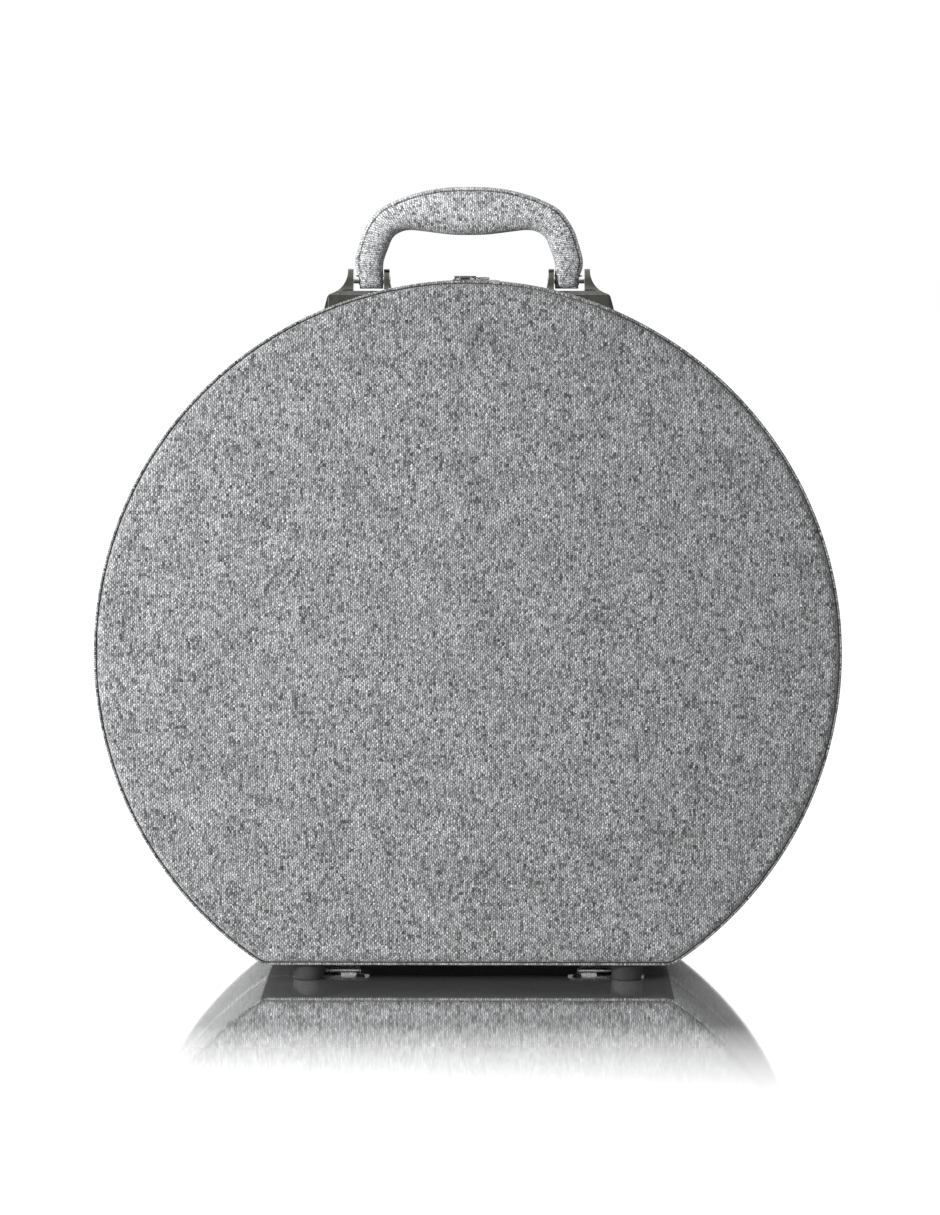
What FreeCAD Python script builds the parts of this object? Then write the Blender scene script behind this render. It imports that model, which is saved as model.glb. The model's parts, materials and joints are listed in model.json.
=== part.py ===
import FreeCAD, Part

import math
import os

from FreeCAD import Vector

# Round hat box standing on the flat side of its drum. Millimetres, +Z up, front towards -Y.
# The origin lies on the supporting surface, below the middle of the drum.

# Drum outline, seen from the front
DRUM_RADIUS = 200.0
BASE_HEIGHT = 9.0
DRUM_CENTRE_Z = 176.0
CORNER_RADIUS = 12.0

# Drum depth and the plane where lid and case part
FRONT_Y = -90.0
BACK_Y = 90.0
PARTING_Y = -18.0
RIM_GAP = 0.6

# Shell layers, from the outside to the inside
FABRIC = 1.2
HOOP_THICKNESS = 3.4
LINING = 1.0
PANEL_BOARD = 4.0
PANEL_FABRIC = 1.2
PANEL_LINING = 1.0
PANEL_EDGE_INSET = 1.3
PANEL_EDGE_RADIUS = 4.5
BAND_OVERLAP = 1.7
BINDING_PROUD = 0.4
BINDING_WIDTH = 5.0
BINDING_WEB = 1.0
GUARD_HALF_WIDTH = 111.5
GUARD_TOP_Z = 30.0

# Closing collar inside the rim
COLLAR_REACH = 8.0
COLLAR_GLUED = 7.5
COLLAR_THICKNESS = 2.0
COLLAR_CLEARANCE = 0.5

# Handle and its brackets
PIVOT_Z = 376.7
PIN_RADIUS = 2.35
PIN_CLEARANCE = 0.05
PIN_PROUD = 0.4
BUSH_RADIUS = 3.2
LEG_INNER_X = 47.3
LEG_OUTER_X = 60.5
LEG_END_RADIUS = 5.2
HANDLE_FABRIC = 1.0
CORE_COVERAGE = 4.5
PADDING_FROM_Z = 386.0
WELT_DEPTH = 1.0
WELT_WIDTH = 9.0
WELT_FROM_Z = 380.2
HANDLE_ROUNDNESS = 2.6
SECTION_POINTS = 16
BUSH_PROUD = 0.2

POST_RADIUS = 5.8
INNER_POST_X = (43.8, 46.9)
OUTER_POST_X = (63.6, 66.8)
BRACKET_TOP_Z = 370.4
BRACKET_SHOULDER_Z = 368.4
BRACKET_HALF_DEPTH = 12.5
BRACKET_X = (42.6, 80.0)
BRACKET_CORNER = 4.5
BACKING_X = (46.0, 76.0)
BACKING_HALF_DEPTH = 9.0
BRACKET_SCREW_X = 66.0
BRACKET_SCREW_Y = 6.0

# Latch on top of the drum
LATCH_PLATE_Z = 376.7
LATCH_FROM_Z = 370.0
HASP_X = (-7.8, 4.2)
HASP_AXIS_Y = -26.5
HASP_AXIS_Z = 377.3
HASP_BARREL = 1.2
HASP_PIN = 0.55
HASP_KNUCKLE = 2.9
HASP_WEB = 1.6
HASP_TIP_Y = 3.7
HASP_Z = (376.85, 378.6)
HASP_PLATE_FRONT_Y = -40.5
HASP_RIVET_Y = -35.5
LEDGE_X = 0.1
LEDGE_Z = 377.25
SLIDE_Y = -0.4
SLIDE_X = (4.5, 9.8)
SLIDE_HALF_WIDTH = 3.35
SLIDE_Z = (376.8, 377.25)
NOSE_X = 0.7
NOSE_HALF_WIDTH = 2.5
NOSE_Z = (377.4, 377.95)
PAD_X = (5.9, 9.2)
PAD_TOP_Z = 378.0
PAD_GROOVE = 0.95
RAIL_X = (5.4, 11.2)
RAIL_TOP_Z = 377.8
RAIL_WALL = 1.2
LATCH_BASE_X = (-8.6, 17.4)
LATCH_BASE_Y = (-12.6, 7.6)
LATCH_BASE_THICK = 0.7
SPRING_POST_X = 6.2
SPRING_POST_Y = SLIDE_Y - 7.4
SPRING_POST_RADIUS = 0.7
SPRING_Z = (376.8, 377.3)
SPRING_ARM_X = (11.8, 10.0)
LATCH_RIVET_X = 14.6
LATCH_RIVET_Y = (-11.0, 5.6)
LATCH_RIVET_Z = 376.15
FLUSH_RIVET_X = -5.4
FLUSH_RIVET_Z = 376.6

# Hinges on the flat bottom
HINGE_X = 76.0
HINGE_AXIS_Z = 5.9
HINGE_BARREL = 2.6
HINGE_PIN = 1.25
HINGE_CLEARANCE = 0.05
LEAF_THICKNESS = 1.2
LEAF_REACH = 14.0
LID_LEAF_WIDTH = 42.0
CASE_LEAF_WIDTH = 31.0
BARREL_LENGTH = 30.0
MIDDLE_KNUCKLE = 10.0
KNUCKLE_GAP = 0.1
HINGE_RIVET_Y = 9.0
LID_RIVET_SPACING = 32.0
CASE_RIVET_SPACING = 22.0
RIVET_SHANK = 1.5
RIVET_HEAD = 3.0
RIVET_DOME = 1.6

# Feet
FOOT_X = 86.0
FRONT_FOOT_Y = -76.0
REAR_FOOT_Y = 74.0
FOOT_BOTTOM_RADIUS = 8.0
FOOT_TOP_RADIUS = 9.2
FOOT_SCREW_RADIUS = 1.6
FOOT_HEAD_RADIUS = 3.1
FOOT_HEAD_Z = (3.0, 5.0)
FOOT_RECESS_RADIUS = 3.4

SHELL_INSET = FABRIC + HOOP_THICKNESS
INNER_INSET = SHELL_INSET + LINING
HOOP_OUTER_RADIUS = DRUM_RADIUS - FABRIC
LID_RIM_Y = PARTING_Y - RIM_GAP / 2
CASE_RIM_Y = PARTING_Y + RIM_GAP / 2
X_AXIS = Vector(1, 0, 0)
Y_AXIS = Vector(0, 1, 0)
Z_AXIS = Vector(0, 0, 1)
ORIGIN = Vector(0, 0, 0)


# ---------------------------------------------------------------- helpers

def box(x_range, y_range, z_range):
    size = [pair[1] - pair[0] for pair in (x_range, y_range, z_range)]
    corner = Vector(x_range[0], y_range[0], z_range[0])
    return Part.makeBox(size[0], size[1], size[2], corner)


def rod(radius, start, end):
    """A round bar between two points."""
    axis = end - start
    return Part.makeCylinder(radius, axis.Length, start, axis)


def mirrored(shape):
    """The same piece on the other side of the middle plane X = 0."""
    return shape.mirror(ORIGIN, X_AXIS)


def both_sides(shape):
    return Part.makeCompound([shape, mirrored(shape)])


def cut_all(shape, tools):
    return shape.cut(Part.makeCompound(list(tools)))


def extruded(wire, direction):
    return Part.Face(wire).extrude(direction)


# ---------------------------------------------------------------- drum shells

def drum_wire(inset):
    """The drum's outline at Y = 0, moved inwards by inset."""
    radius = DRUM_RADIUS - inset
    corner = CORNER_RADIUS - inset
    corner_z = BASE_HEIGHT + CORNER_RADIUS
    reach = DRUM_RADIUS - CORNER_RADIUS
    drop = corner_z - DRUM_CENTRE_Z
    corner_x = math.sqrt(reach ** 2 - drop ** 2)
    meet_x = corner_x * radius / reach
    meet_z = DRUM_CENTRE_Z + drop * radius / reach
    bend = (math.atan2(drop, corner_x) - math.pi / 2) / 2
    bend_x = corner_x + corner * math.cos(bend)
    bend_z = corner_z + corner * math.sin(bend)
    flat_z = BASE_HEIGHT + inset
    top = Vector(0, 0, DRUM_CENTRE_Z + radius)
    right_meet, left_meet = Vector(meet_x, 0, meet_z), Vector(-meet_x, 0, meet_z)
    right_flat, left_flat = Vector(corner_x, 0, flat_z), Vector(-corner_x, 0, flat_z)
    edges = [
        Part.Arc(right_meet, top, left_meet).toShape(),
        Part.Arc(left_meet, Vector(-bend_x, 0, bend_z), left_flat).toShape(),
        Part.makeLine(left_flat, right_flat),
        Part.Arc(right_flat, Vector(bend_x, 0, bend_z), right_meet).toShape(),
    ]
    return Part.Wire(edges)


def drum_slab(inset, y_start, y_end):
    low, high = min(y_start, y_end), max(y_start, y_end)
    slab = extruded(drum_wire(inset), Vector(0, high - low, 0))
    slab.translate(Vector(0, low, 0))
    return slab


def drum_ring(outer_inset, inner_inset, y_start, y_end):
    return drum_slab(outer_inset, y_start, y_end).cut(drum_slab(inner_inset, y_start, y_end))


def rounded_slab(inset, y_face, y_inner, edge_radius):
    """A panel whose outline is rounded over at the face."""
    slab = drum_slab(inset, y_face, y_inner)
    rim = [e for e in slab.Edges
           if abs(e.BoundBox.YMin - y_face) < 1e-4 and abs(e.BoundBox.YMax - y_face) < 1e-4]
    return slab.makeFillet(edge_radius, rim)


def guard_zone(y_start, y_end):
    low, high = min(y_start, y_end), max(y_start, y_end)
    return box((-GUARD_HALF_WIDTH, GUARD_HALF_WIDTH), (low, high), (0, GUARD_TOP_Z))


def shell_pieces(face_y, rim_y):
    """One half of the drum: board, fabric, lining and rim binding."""
    inwards = 1 if rim_y > face_y else -1
    board_face = face_y + inwards * PANEL_FABRIC
    hoop_end = board_face + inwards * PANEL_BOARD
    band_end = hoop_end - inwards * BAND_OVERLAP
    lining_end = hoop_end + inwards * PANEL_LINING
    rim_inner = rim_y - inwards * BINDING_WEB
    binding_end = rim_y - inwards * BINDING_WIDTH
    board_inset = PANEL_EDGE_INSET + PANEL_FABRIC

    hoop = drum_ring(FABRIC, SHELL_INSET, hoop_end, rim_inner)
    board = rounded_slab(board_inset, board_face, hoop_end, PANEL_EDGE_RADIUS - PANEL_FABRIC)
    panel_cover = rounded_slab(PANEL_EDGE_INSET, face_y, hoop_end, PANEL_EDGE_RADIUS).cut(board)
    band = drum_ring(0, FABRIC, band_end, rim_inner)
    zone = guard_zone(band_end, rim_inner)
    guard = band.common(zone)
    web = drum_ring(0, INNER_INSET, rim_inner, rim_y)
    lip = drum_ring(-BINDING_PROUD, 0, binding_end, rim_y).cut(guard_zone(binding_end, rim_y))
    binding = web.fuse(lip).removeSplitter()
    return {
        "hoop": hoop,
        "panel": board,
        "hoop_cover": band.cut(zone),
        "panel_cover": panel_cover,
        "base_guard": guard,
        "rim_binding": binding,
        "lining_panel": drum_slab(SHELL_INSET, hoop_end, lining_end),
        "lining_hoop": drum_ring(SHELL_INSET, INNER_INSET, lining_end, rim_inner),
    }


def closing_collar():
    """A stiff ring glued inside the case's rim that steps into the lid."""
    inner = INNER_INSET + COLLAR_CLEARANCE + COLLAR_THICKNESS
    glued = drum_ring(INNER_INSET, inner, CASE_RIM_Y, CASE_RIM_Y + COLLAR_GLUED)
    tongue = drum_ring(INNER_INSET + COLLAR_CLEARANCE, inner, LID_RIM_Y - COLLAR_REACH, CASE_RIM_Y)
    return glued.fuse(tongue).removeSplitter()


# ---------------------------------------------------------------- handle

# Half of the bow, from the pin to the middle of the grip: the point on the inside of the bow,
# the point on its outside (both as X, Z), and the depth front to back there.
BOW_STATIONS = [
    ((LEG_INNER_X, PIVOT_Z), (LEG_OUTER_X, PIVOT_Z), 10.4),
    ((47.2, 385.6), (63.0, 385.2), 14.2),
    ((44.2, 393.9), (61.4, 394.3), 17.0),
    ((41.5, 399.6), (57.6, 405.1), 18.6),
    ((37.1, 402.5), (50.0, 415.2), 20.0),
    ((31.9, 403.4), (38.8, 421.2), 20.9),
    ((25.0, 402.8), (28.2, 424.7), 21.5),
    ((17.1, 401.7), (18.4, 426.8), 21.9),
    ((8.7, 400.8), (9.1, 427.7), 22.0),
    ((0.0, 400.6), (0.0, 427.9), 22.0),
]


def rounded_section(inner, outer, depth, inset):
    """A closed, rounded outline across the bow."""
    middle = Vector((inner[0] + outer[0]) / 2, 0, (inner[1] + outer[1]) / 2)
    across = Vector(outer[0] - inner[0], 0, outer[1] - inner[1])
    half_width = across.Length / 2 - inset
    half_depth = depth / 2 - inset
    across.normalize()
    points = []
    for step in range(SECTION_POINTS):
        angle = 2 * math.pi * step / SECTION_POINTS
        c, s = math.cos(angle), math.sin(angle)
        u = math.copysign(abs(c) ** (2 / HANDLE_ROUNDNESS), c) * half_width
        v = math.copysign(abs(s) ** (2 / HANDLE_ROUNDNESS), s) * half_depth
        points.append(middle + across * u + Y_AXIS * v)
    curve = Part.BSplineCurve()
    curve.interpolate(points, PeriodicFlag=True)
    return Part.Wire([curve.toShape()])


def half_bow(inset):
    """The right half of the bow, or a layer of it that lies inset below the surface."""
    wires = [rounded_section(a, b, depth, inset) for a, b, depth in BOW_STATIONS]
    return Part.makeLoft(wires, True, True)


def half_form(inset):
    """The right half of the bow with its round end about the pin."""
    start = Vector(LEG_INNER_X + inset, 0, PIVOT_Z)
    end = Vector(LEG_OUTER_X - inset, 0, PIVOT_Z)
    return half_bow(inset).fuse(rod(LEG_END_RADIUS - inset, start, end)).removeSplitter()


def welt_strip():
    """The strip along the outside of the bow where the cover is joined."""
    wires = []
    side = Y_AXIS * (WELT_WIDTH / 2)
    for inner, outer, _ in BOW_STATIONS:
        across = Vector(outer[0] - inner[0], 0, outer[1] - inner[1])
        across.normalize()
        edge = Vector(outer[0], 0, outer[1])
        low, high = edge - across * WELT_DEPTH, edge + across
        wires.append(Part.makePolygon([low - side, high - side, high + side, low + side, low - side]))
    return Part.makeLoft(wires, True, True)


def handle_pieces():
    outer = half_form(0)
    layer = half_form(HANDLE_FABRIC)
    above = box((-1, 100), (-50, 50), (PADDING_FROM_Z, PADDING_FROM_Z + 100))
    padding = layer.cut(half_bow(CORE_COVERAGE)).common(above)
    core = layer.cut(padding)
    welt_zone = box((-1, 100), (-50, 50), (WELT_FROM_Z, WELT_FROM_Z + 100))
    welt = outer.cut(layer).common(welt_strip()).common(welt_zone)
    cover = outer.cut(layer).cut(welt)
    bush_start, bush_end = Vector(LEG_INNER_X, 0, PIVOT_Z), Vector(LEG_OUTER_X + BUSH_PROUD, 0, PIVOT_Z)
    bush = rod(BUSH_RADIUS, bush_start, bush_end).cut(rod(PIN_RADIUS + PIN_CLEARANCE, bush_start, bush_end))
    hole = rod(BUSH_RADIUS, Vector(INNER_POST_X[0], 0, PIVOT_Z), Vector(OUTER_POST_X[1], 0, PIVOT_Z))
    pieces = {"handle_bush_right": bush, "handle_bush_left": mirrored(bush)}
    halves = {"core": core.cut(hole), "padding": padding, "cover": cover.cut(hole), "welt": welt}
    for name, half in halves.items():
        pieces["handle_" + name] = half.fuse(mirrored(half)).removeSplitter()
    return pieces


# ---------------------------------------------------------------- handle brackets

def drum_core(radius):
    return rod(radius, Vector(0, -60, DRUM_CENTRE_Z), Vector(0, 60, DRUM_CENTRE_Z))


def bracket_front_outline():
    """The bracket seen from the front, on the right side."""
    low = BRACKET_TOP_Z - 22
    high = PIVOT_Z + POST_RADIUS + 1
    foot, end = BRACKET_X
    corners = [
        Vector(foot, 0, low), Vector(foot, 0, BRACKET_TOP_Z + 1.2),
        Vector(INNER_POST_X[0], 0, PIVOT_Z), Vector(INNER_POST_X[0], 0, high),
        Vector(INNER_POST_X[1], 0, high), Vector(INNER_POST_X[1], 0, BRACKET_TOP_Z),
        Vector(OUTER_POST_X[0], 0, BRACKET_TOP_Z), Vector(OUTER_POST_X[0], 0, high),
        Vector(OUTER_POST_X[1], 0, high), Vector(OUTER_POST_X[1], 0, 380.2),
    ]
    edges = [Part.makeLine(a, b) for a, b in zip(corners, corners[1:])]
    flare_end = Vector(75.6, 0, 369.0)
    edges.append(Part.Arc(corners[-1], Vector(69.3, 0, 373.6), flare_end).toShape())
    nose_end = Vector(78.0, 0, 366.6)
    edges.append(Part.Arc(flare_end, Vector(77.2, 0, 368.1), nose_end).toShape())
    tail = [nose_end, Vector(end, 0, 359.5), Vector(end, 0, low), corners[0]]
    edges += [Part.makeLine(a, b) for a, b in zip(tail, tail[1:])]
    return Part.Wire(edges)


def bracket_side_outline():
    """The bracket seen from its side: base, concave flares, and the posts' round tops."""
    low = BRACKET_TOP_Z - 22
    right = [
        Vector(0, BRACKET_HALF_DEPTH, low), Vector(0, BRACKET_HALF_DEPTH, BRACKET_SHOULDER_Z),
        Vector(0, BRACKET_HALF_DEPTH - 2.2, BRACKET_TOP_Z), Vector(0, POST_RADIUS + 2.9, BRACKET_TOP_Z),
    ]
    waist = Vector(0, POST_RADIUS, BRACKET_TOP_Z + 3.4)
    flare_middle = Vector(0, POST_RADIUS + 0.9, BRACKET_TOP_Z + 0.95)
    shoulder = Vector(0, POST_RADIUS, PIVOT_Z)

    def across(point):
        return Vector(0, -point.y, point.z)

    edges = [Part.makeLine(a, b) for a, b in zip(right, right[1:])]
    edges.append(Part.Arc(right[-1], flare_middle, waist).toShape())
    edges.append(Part.makeLine(waist, shoulder))
    edges.append(Part.Arc(shoulder, Vector(0, 0, PIVOT_Z + POST_RADIUS), across(shoulder)).toShape())
    edges.append(Part.makeLine(across(shoulder), across(waist)))
    edges.append(Part.Arc(across(waist), across(flare_middle), across(right[-1])).toShape())
    left = [across(point) for point in reversed(right)]
    edges += [Part.makeLine(a, b) for a, b in zip(left, left[1:])]
    edges.append(Part.makeLine(left[-1], right[0]))
    return Part.Wire(edges)


def bracket():
    """The right handle bracket, one casting with two posts."""
    depth = 2 * BRACKET_HALF_DEPTH
    front = extruded(bracket_front_outline(), Vector(0, depth, 0))
    front.translate(Vector(0, -BRACKET_HALF_DEPTH, 0))
    side = extruded(bracket_side_outline(), Vector(BRACKET_X[1] + 10, 0, 0))
    plan = box(BRACKET_X, (-BRACKET_HALF_DEPTH, BRACKET_HALF_DEPTH), (340, 400))
    corners = [e for e in plan.Edges if e.BoundBox.ZLength > 50 and e.BoundBox.XMin > BRACKET_X[1] - 1]
    plan = plan.makeFillet(BRACKET_CORNER, corners)
    return front.common(side).common(plan).cut(drum_core(HOOP_OUTER_RADIUS))


def bracket_footprint():
    """The window in the fabric under the bracket, down to the board."""
    block = box(BRACKET_X, (-BRACKET_HALF_DEPTH, BRACKET_HALF_DEPTH), (340, BRACKET_TOP_Z + 1))
    corners = [e for e in block.Edges if e.BoundBox.ZLength > 30 and e.BoundBox.XMin > BRACKET_X[1] - 1]
    return block.makeFillet(BRACKET_CORNER, corners).cut(drum_core(HOOP_OUTER_RADIUS))


def bracket_screw(y):
    """A pan-head screw from inside the case into the bracket, along the drum's radius."""
    tilt = math.degrees(math.asin(BRACKET_SCREW_X / HOOP_OUTER_RADIUS))
    seat = DRUM_CENTRE_Z + DRUM_RADIUS - INNER_INSET
    shank = rod(1.5, Vector(0, y, seat), Vector(0, y, DRUM_CENTRE_Z + HOOP_OUTER_RADIUS + 5.0))
    head = rod(2.8, Vector(0, y, seat - 1.6), Vector(0, y, seat))
    screw = shank.fuse(head).removeSplitter()
    screw.rotate(Vector(0, 0, DRUM_CENTRE_Z), Y_AXIS, tilt)
    return screw


def backing_plate():
    zone = box(BACKING_X, (-BACKING_HALF_DEPTH, BACKING_HALF_DEPTH), (300, 380))
    return drum_ring(SHELL_INSET, INNER_INSET, -BACKING_HALF_DEPTH, BACKING_HALF_DEPTH).common(zone)


def pivot_pin():
    start = Vector(INNER_POST_X[0] - PIN_PROUD, 0, PIVOT_Z)
    end = Vector(OUTER_POST_X[1] + PIN_PROUD, 0, PIVOT_Z)
    pin = rod(PIN_RADIUS, start, end)
    rims = [e for e in pin.Edges if e.BoundBox.XLength < 1e-4]
    return pin.makeChamfer(0.3, rims)


# ---------------------------------------------------------------- latch

def on_drum(shape):
    """Trims a piece so that it sits on the drum's fabric."""
    return shape.cut(drum_core(DRUM_RADIUS))


def hasp_rod(radius, start_x, end_x):
    """A rod along the hasp's axis."""
    return rod(radius, Vector(start_x, HASP_AXIS_Y, HASP_AXIS_Z), Vector(end_x, HASP_AXIS_Y, HASP_AXIS_Z))


def hasp_plate():
    """The plate on the lid with two knuckles for the hasp's pin."""
    left, right = HASP_X
    plate = on_drum(box((left - 0.7, right + 0.7), (HASP_PLATE_FRONT_Y, HASP_AXIS_Y - HASP_WEB),
                        (LATCH_FROM_Z, LATCH_PLATE_Z)))
    knuckles = []
    for start in (left, right - HASP_KNUCKLE):
        end = start + HASP_KNUCKLE
        tab = box((start, end), (HASP_AXIS_Y - HASP_WEB, HASP_AXIS_Y), (LATCH_FROM_Z, LATCH_PLATE_Z))
        knuckles += [hasp_rod(HASP_BARREL, start, end), on_drum(tab)]
    bore = hasp_rod(HASP_PIN, left - 5, right + 5)
    return plate.fuse(knuckles).cut(bore).removeSplitter()


def hasp():
    """The strap that reaches from the lid over the latch base; its right end is a thin ledge."""
    left, right = HASP_X
    strap = box((left, right), (HASP_AXIS_Y + HASP_WEB, HASP_TIP_Y), HASP_Z)
    corners = [e for e in strap.Edges if e.BoundBox.ZLength > 1 and e.BoundBox.YMin > HASP_TIP_Y - 1]
    strap = strap.makeFillet(2.0, corners)
    brow = [e for e in strap.Edges if e.BoundBox.YLength > 20 and e.BoundBox.ZMin > HASP_Z[1] - 0.1]
    strap = strap.makeChamfer(0.5, brow)
    ledge_y = SLIDE_Y - SLIDE_HALF_WIDTH - 0.15
    ledge_cut = box((LEDGE_X, right + 1), (ledge_y, HASP_TIP_Y + 1), (LEDGE_Z, HASP_Z[1] + 1))
    middle = (left + HASP_KNUCKLE + 0.1, right - HASP_KNUCKLE - 0.1)
    barrel = hasp_rod(HASP_BARREL, middle[0], middle[1])
    neck = box(middle, (HASP_AXIS_Y, HASP_AXIS_Y + HASP_WEB + 0.2), HASP_Z)
    bore = hasp_rod(HASP_PIN + 0.05, left - 5, right + 5)
    return strap.cut(ledge_cut).fuse([barrel, neck]).cut(bore).removeSplitter()


def hasp_pin():
    return hasp_rod(HASP_PIN, HASP_X[0], HASP_X[1])


def latch_base():
    """The plate on the case with two rails for the slide and a post for its spring."""
    plate = on_drum(box(LATCH_BASE_X, LATCH_BASE_Y, (LATCH_FROM_Z, LATCH_PLATE_Z + 1)))
    plate = plate.common(drum_core(DRUM_RADIUS + LATCH_BASE_THICK))
    corners = [e for e in plate.Edges if e.BoundBox.ZLength > 0.3 and e.BoundBox.XLength < 1e-4
               and e.BoundBox.YLength < 1e-4]
    plate = plate.makeFillet(1.6, corners)
    pieces = []
    for side in (-1, 1):
        inner = SLIDE_Y + side * (SLIDE_HALF_WIDTH + 0.15)
        outer = inner + side * RAIL_WALL
        lip = inner - side * 0.8
        pieces.append(on_drum(box(RAIL_X, sorted((inner, outer)), (LATCH_FROM_Z, RAIL_TOP_Z))))
        pieces.append(box(RAIL_X, sorted((lip, outer)), (SLIDE_Z[1] + 0.15, RAIL_TOP_Z)))
    pieces.append(rod(SPRING_POST_RADIUS, Vector(SPRING_POST_X, SPRING_POST_Y, LATCH_PLATE_Z - 0.6),
                      Vector(SPRING_POST_X, SPRING_POST_Y, SPRING_Z[1] + 0.4)))
    return plate.fuse(pieces).removeSplitter()


def latch_slide():
    """The sliding thumb piece; its nose lies over the hasp's ledge."""
    width = (SLIDE_Y - SLIDE_HALF_WIDTH, SLIDE_Y + SLIDE_HALF_WIDTH)
    narrow = (SLIDE_Y - NOSE_HALF_WIDTH, SLIDE_Y + NOSE_HALF_WIDTH)
    body = box(SLIDE_X, width, SLIDE_Z)
    nose_root = box((SLIDE_X[0], SLIDE_X[0] + 0.7), narrow, (SLIDE_Z[0] + 0.35, NOSE_Z[1]))
    nose = box((NOSE_X, SLIDE_X[0] + 0.7), narrow, NOSE_Z)
    pad = box(PAD_X, narrow, (SLIDE_Z[0] + 0.35, PAD_TOP_Z))
    starts = [PAD_X[0] + 0.4 + PAD_GROOVE * i for i in range(3)]
    grooves = [box((x, x + 0.5), width, (PAD_TOP_Z - 0.25, PAD_TOP_Z + 1)) for x in starts]
    return cut_all(body.fuse([nose_root, nose, pad]).removeSplitter(), grooves)


def latch_spring():
    """A flat hairpin from the base's post that bears on the slide's rail side."""
    ring = rod(1.3, Vector(SPRING_POST_X, SPRING_POST_Y, SPRING_Z[0]),
               Vector(SPRING_POST_X, SPRING_POST_Y, SPRING_Z[1]))
    ring = ring.cut(rod(SPRING_POST_RADIUS, Vector(SPRING_POST_X, SPRING_POST_Y, SPRING_Z[0] - 1),
                        Vector(SPRING_POST_X, SPRING_POST_Y, SPRING_Z[1] + 1)))
    long_arm = box((SPRING_POST_X, SPRING_ARM_X[0]), (SPRING_POST_Y - 1.3, SPRING_POST_Y - 0.8), SPRING_Z)
    short_arm = box((SPRING_POST_X, SPRING_ARM_X[1]), (SPRING_POST_Y + 0.8, SPRING_POST_Y + 1.3), SPRING_Z)
    return ring.fuse([long_arm, short_arm]).removeSplitter()


def dome_rivet(x, y, plate_z, depth_z, up, shank=1.0, head=1.5, dome=0.5):
    """A rivet with a domed head on the plate's face; up is 1 when the head points upwards."""
    ball_radius = (head ** 2 + dome ** 2) / (2 * dome)
    centre = Vector(x, y, plate_z - up * (ball_radius - dome))
    ball = Part.makeSphere(ball_radius, centre)
    far = plate_z + up * dome * 2
    slab = box((x - head, x + head), (y - head, y + head), sorted((plate_z, far)))
    body = rod(shank, Vector(x, y, depth_z), Vector(x, y, plate_z))
    return body.fuse(ball.common(slab)).removeSplitter()


def flush_rivet(x, y, plate_z, depth_z, shank=1.0):
    return rod(shank, Vector(x, y, depth_z), Vector(x, y, plate_z))


def trimmed_inside(shape):
    """Cuts a fastener flush with the board's inner face."""
    return shape.cut(drum_core(DRUM_RADIUS - SHELL_INSET))


def latch_rivets():
    """Two domed rivets beside the rails and two flush ones below the hasp."""
    domed = [dome_rivet(LATCH_RIVET_X, y, LATCH_RIVET_Z, LATCH_FROM_Z, 1, shank=0.8, head=1.2, dome=0.45)
             for y in LATCH_RIVET_Y]
    flush = [flush_rivet(FLUSH_RIVET_X, y, FLUSH_RIVET_Z, LATCH_FROM_Z, shank=0.8) for y in LATCH_RIVET_Y]
    return Part.makeCompound([trimmed_inside(rivet) for rivet in domed + flush])


def hasp_plate_rivets():
    places = (HASP_X[0] + 2.2, HASP_X[1] - 2.2)
    rivets = [dome_rivet(x, HASP_RIVET_Y, LATCH_PLATE_Z, LATCH_FROM_Z, 1) for x in places]
    return Part.makeCompound([trimmed_inside(rivet) for rivet in rivets])


# ---------------------------------------------------------------- hinges

def knuckle(x_start, x_end, side):
    """One knuckle and its web; side is -1 for the lid and 1 for the case."""
    axis_start = Vector(x_start, PARTING_Y, HINGE_AXIS_Z)
    barrel = rod(HINGE_BARREL, axis_start, Vector(x_end, PARTING_Y, HINGE_AXIS_Z))
    reach = PARTING_Y + side * (HINGE_BARREL + 1.0)
    web = box((x_start, x_end), (min(PARTING_Y, reach), max(PARTING_Y, reach)),
              (HINGE_AXIS_Z + 0.9, BASE_HEIGHT))
    return barrel.fuse(web)


def hinge_leaf(side, width, knuckle_spans):
    """A leaf under the right half of the drum, centred at HINGE_X."""
    near = PARTING_Y + side * (HINGE_BARREL + 0.8)
    far = PARTING_Y + side * LEAF_REACH
    plate = box((HINGE_X - width / 2, HINGE_X + width / 2), (min(near, far), max(near, far)),
                (BASE_HEIGHT - LEAF_THICKNESS, BASE_HEIGHT))
    ends = [e for e in plate.Edges if e.BoundBox.ZLength > 1 and abs(e.BoundBox.YMin - far) < 1e-4]
    plate = plate.makeFillet(3.0, ends)
    knuckles = [knuckle(HINGE_X + a, HINGE_X + b, side) for a, b in knuckle_spans]
    bore_radius = HINGE_PIN + HINGE_CLEARANCE if side < 0 else HINGE_PIN
    bore = rod(bore_radius, Vector(HINGE_X - BARREL_LENGTH, PARTING_Y, HINGE_AXIS_Z),
               Vector(HINGE_X + BARREL_LENGTH, PARTING_Y, HINGE_AXIS_Z))
    return plate.fuse(knuckles).cut(bore).removeSplitter()


def lid_leaf():
    end = BARREL_LENGTH / 2
    gap = MIDDLE_KNUCKLE / 2 + KNUCKLE_GAP
    return hinge_leaf(-1, LID_LEAF_WIDTH, [(-end, -gap), (gap, end)])


def case_leaf():
    half = MIDDLE_KNUCKLE / 2
    return hinge_leaf(1, CASE_LEAF_WIDTH, [(-half, half)])


def hinge_pin():
    half = BARREL_LENGTH / 2 + 0.4
    return rod(HINGE_PIN, Vector(HINGE_X - half, PARTING_Y, HINGE_AXIS_Z),
               Vector(HINGE_X + half, PARTING_Y, HINGE_AXIS_Z))


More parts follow.
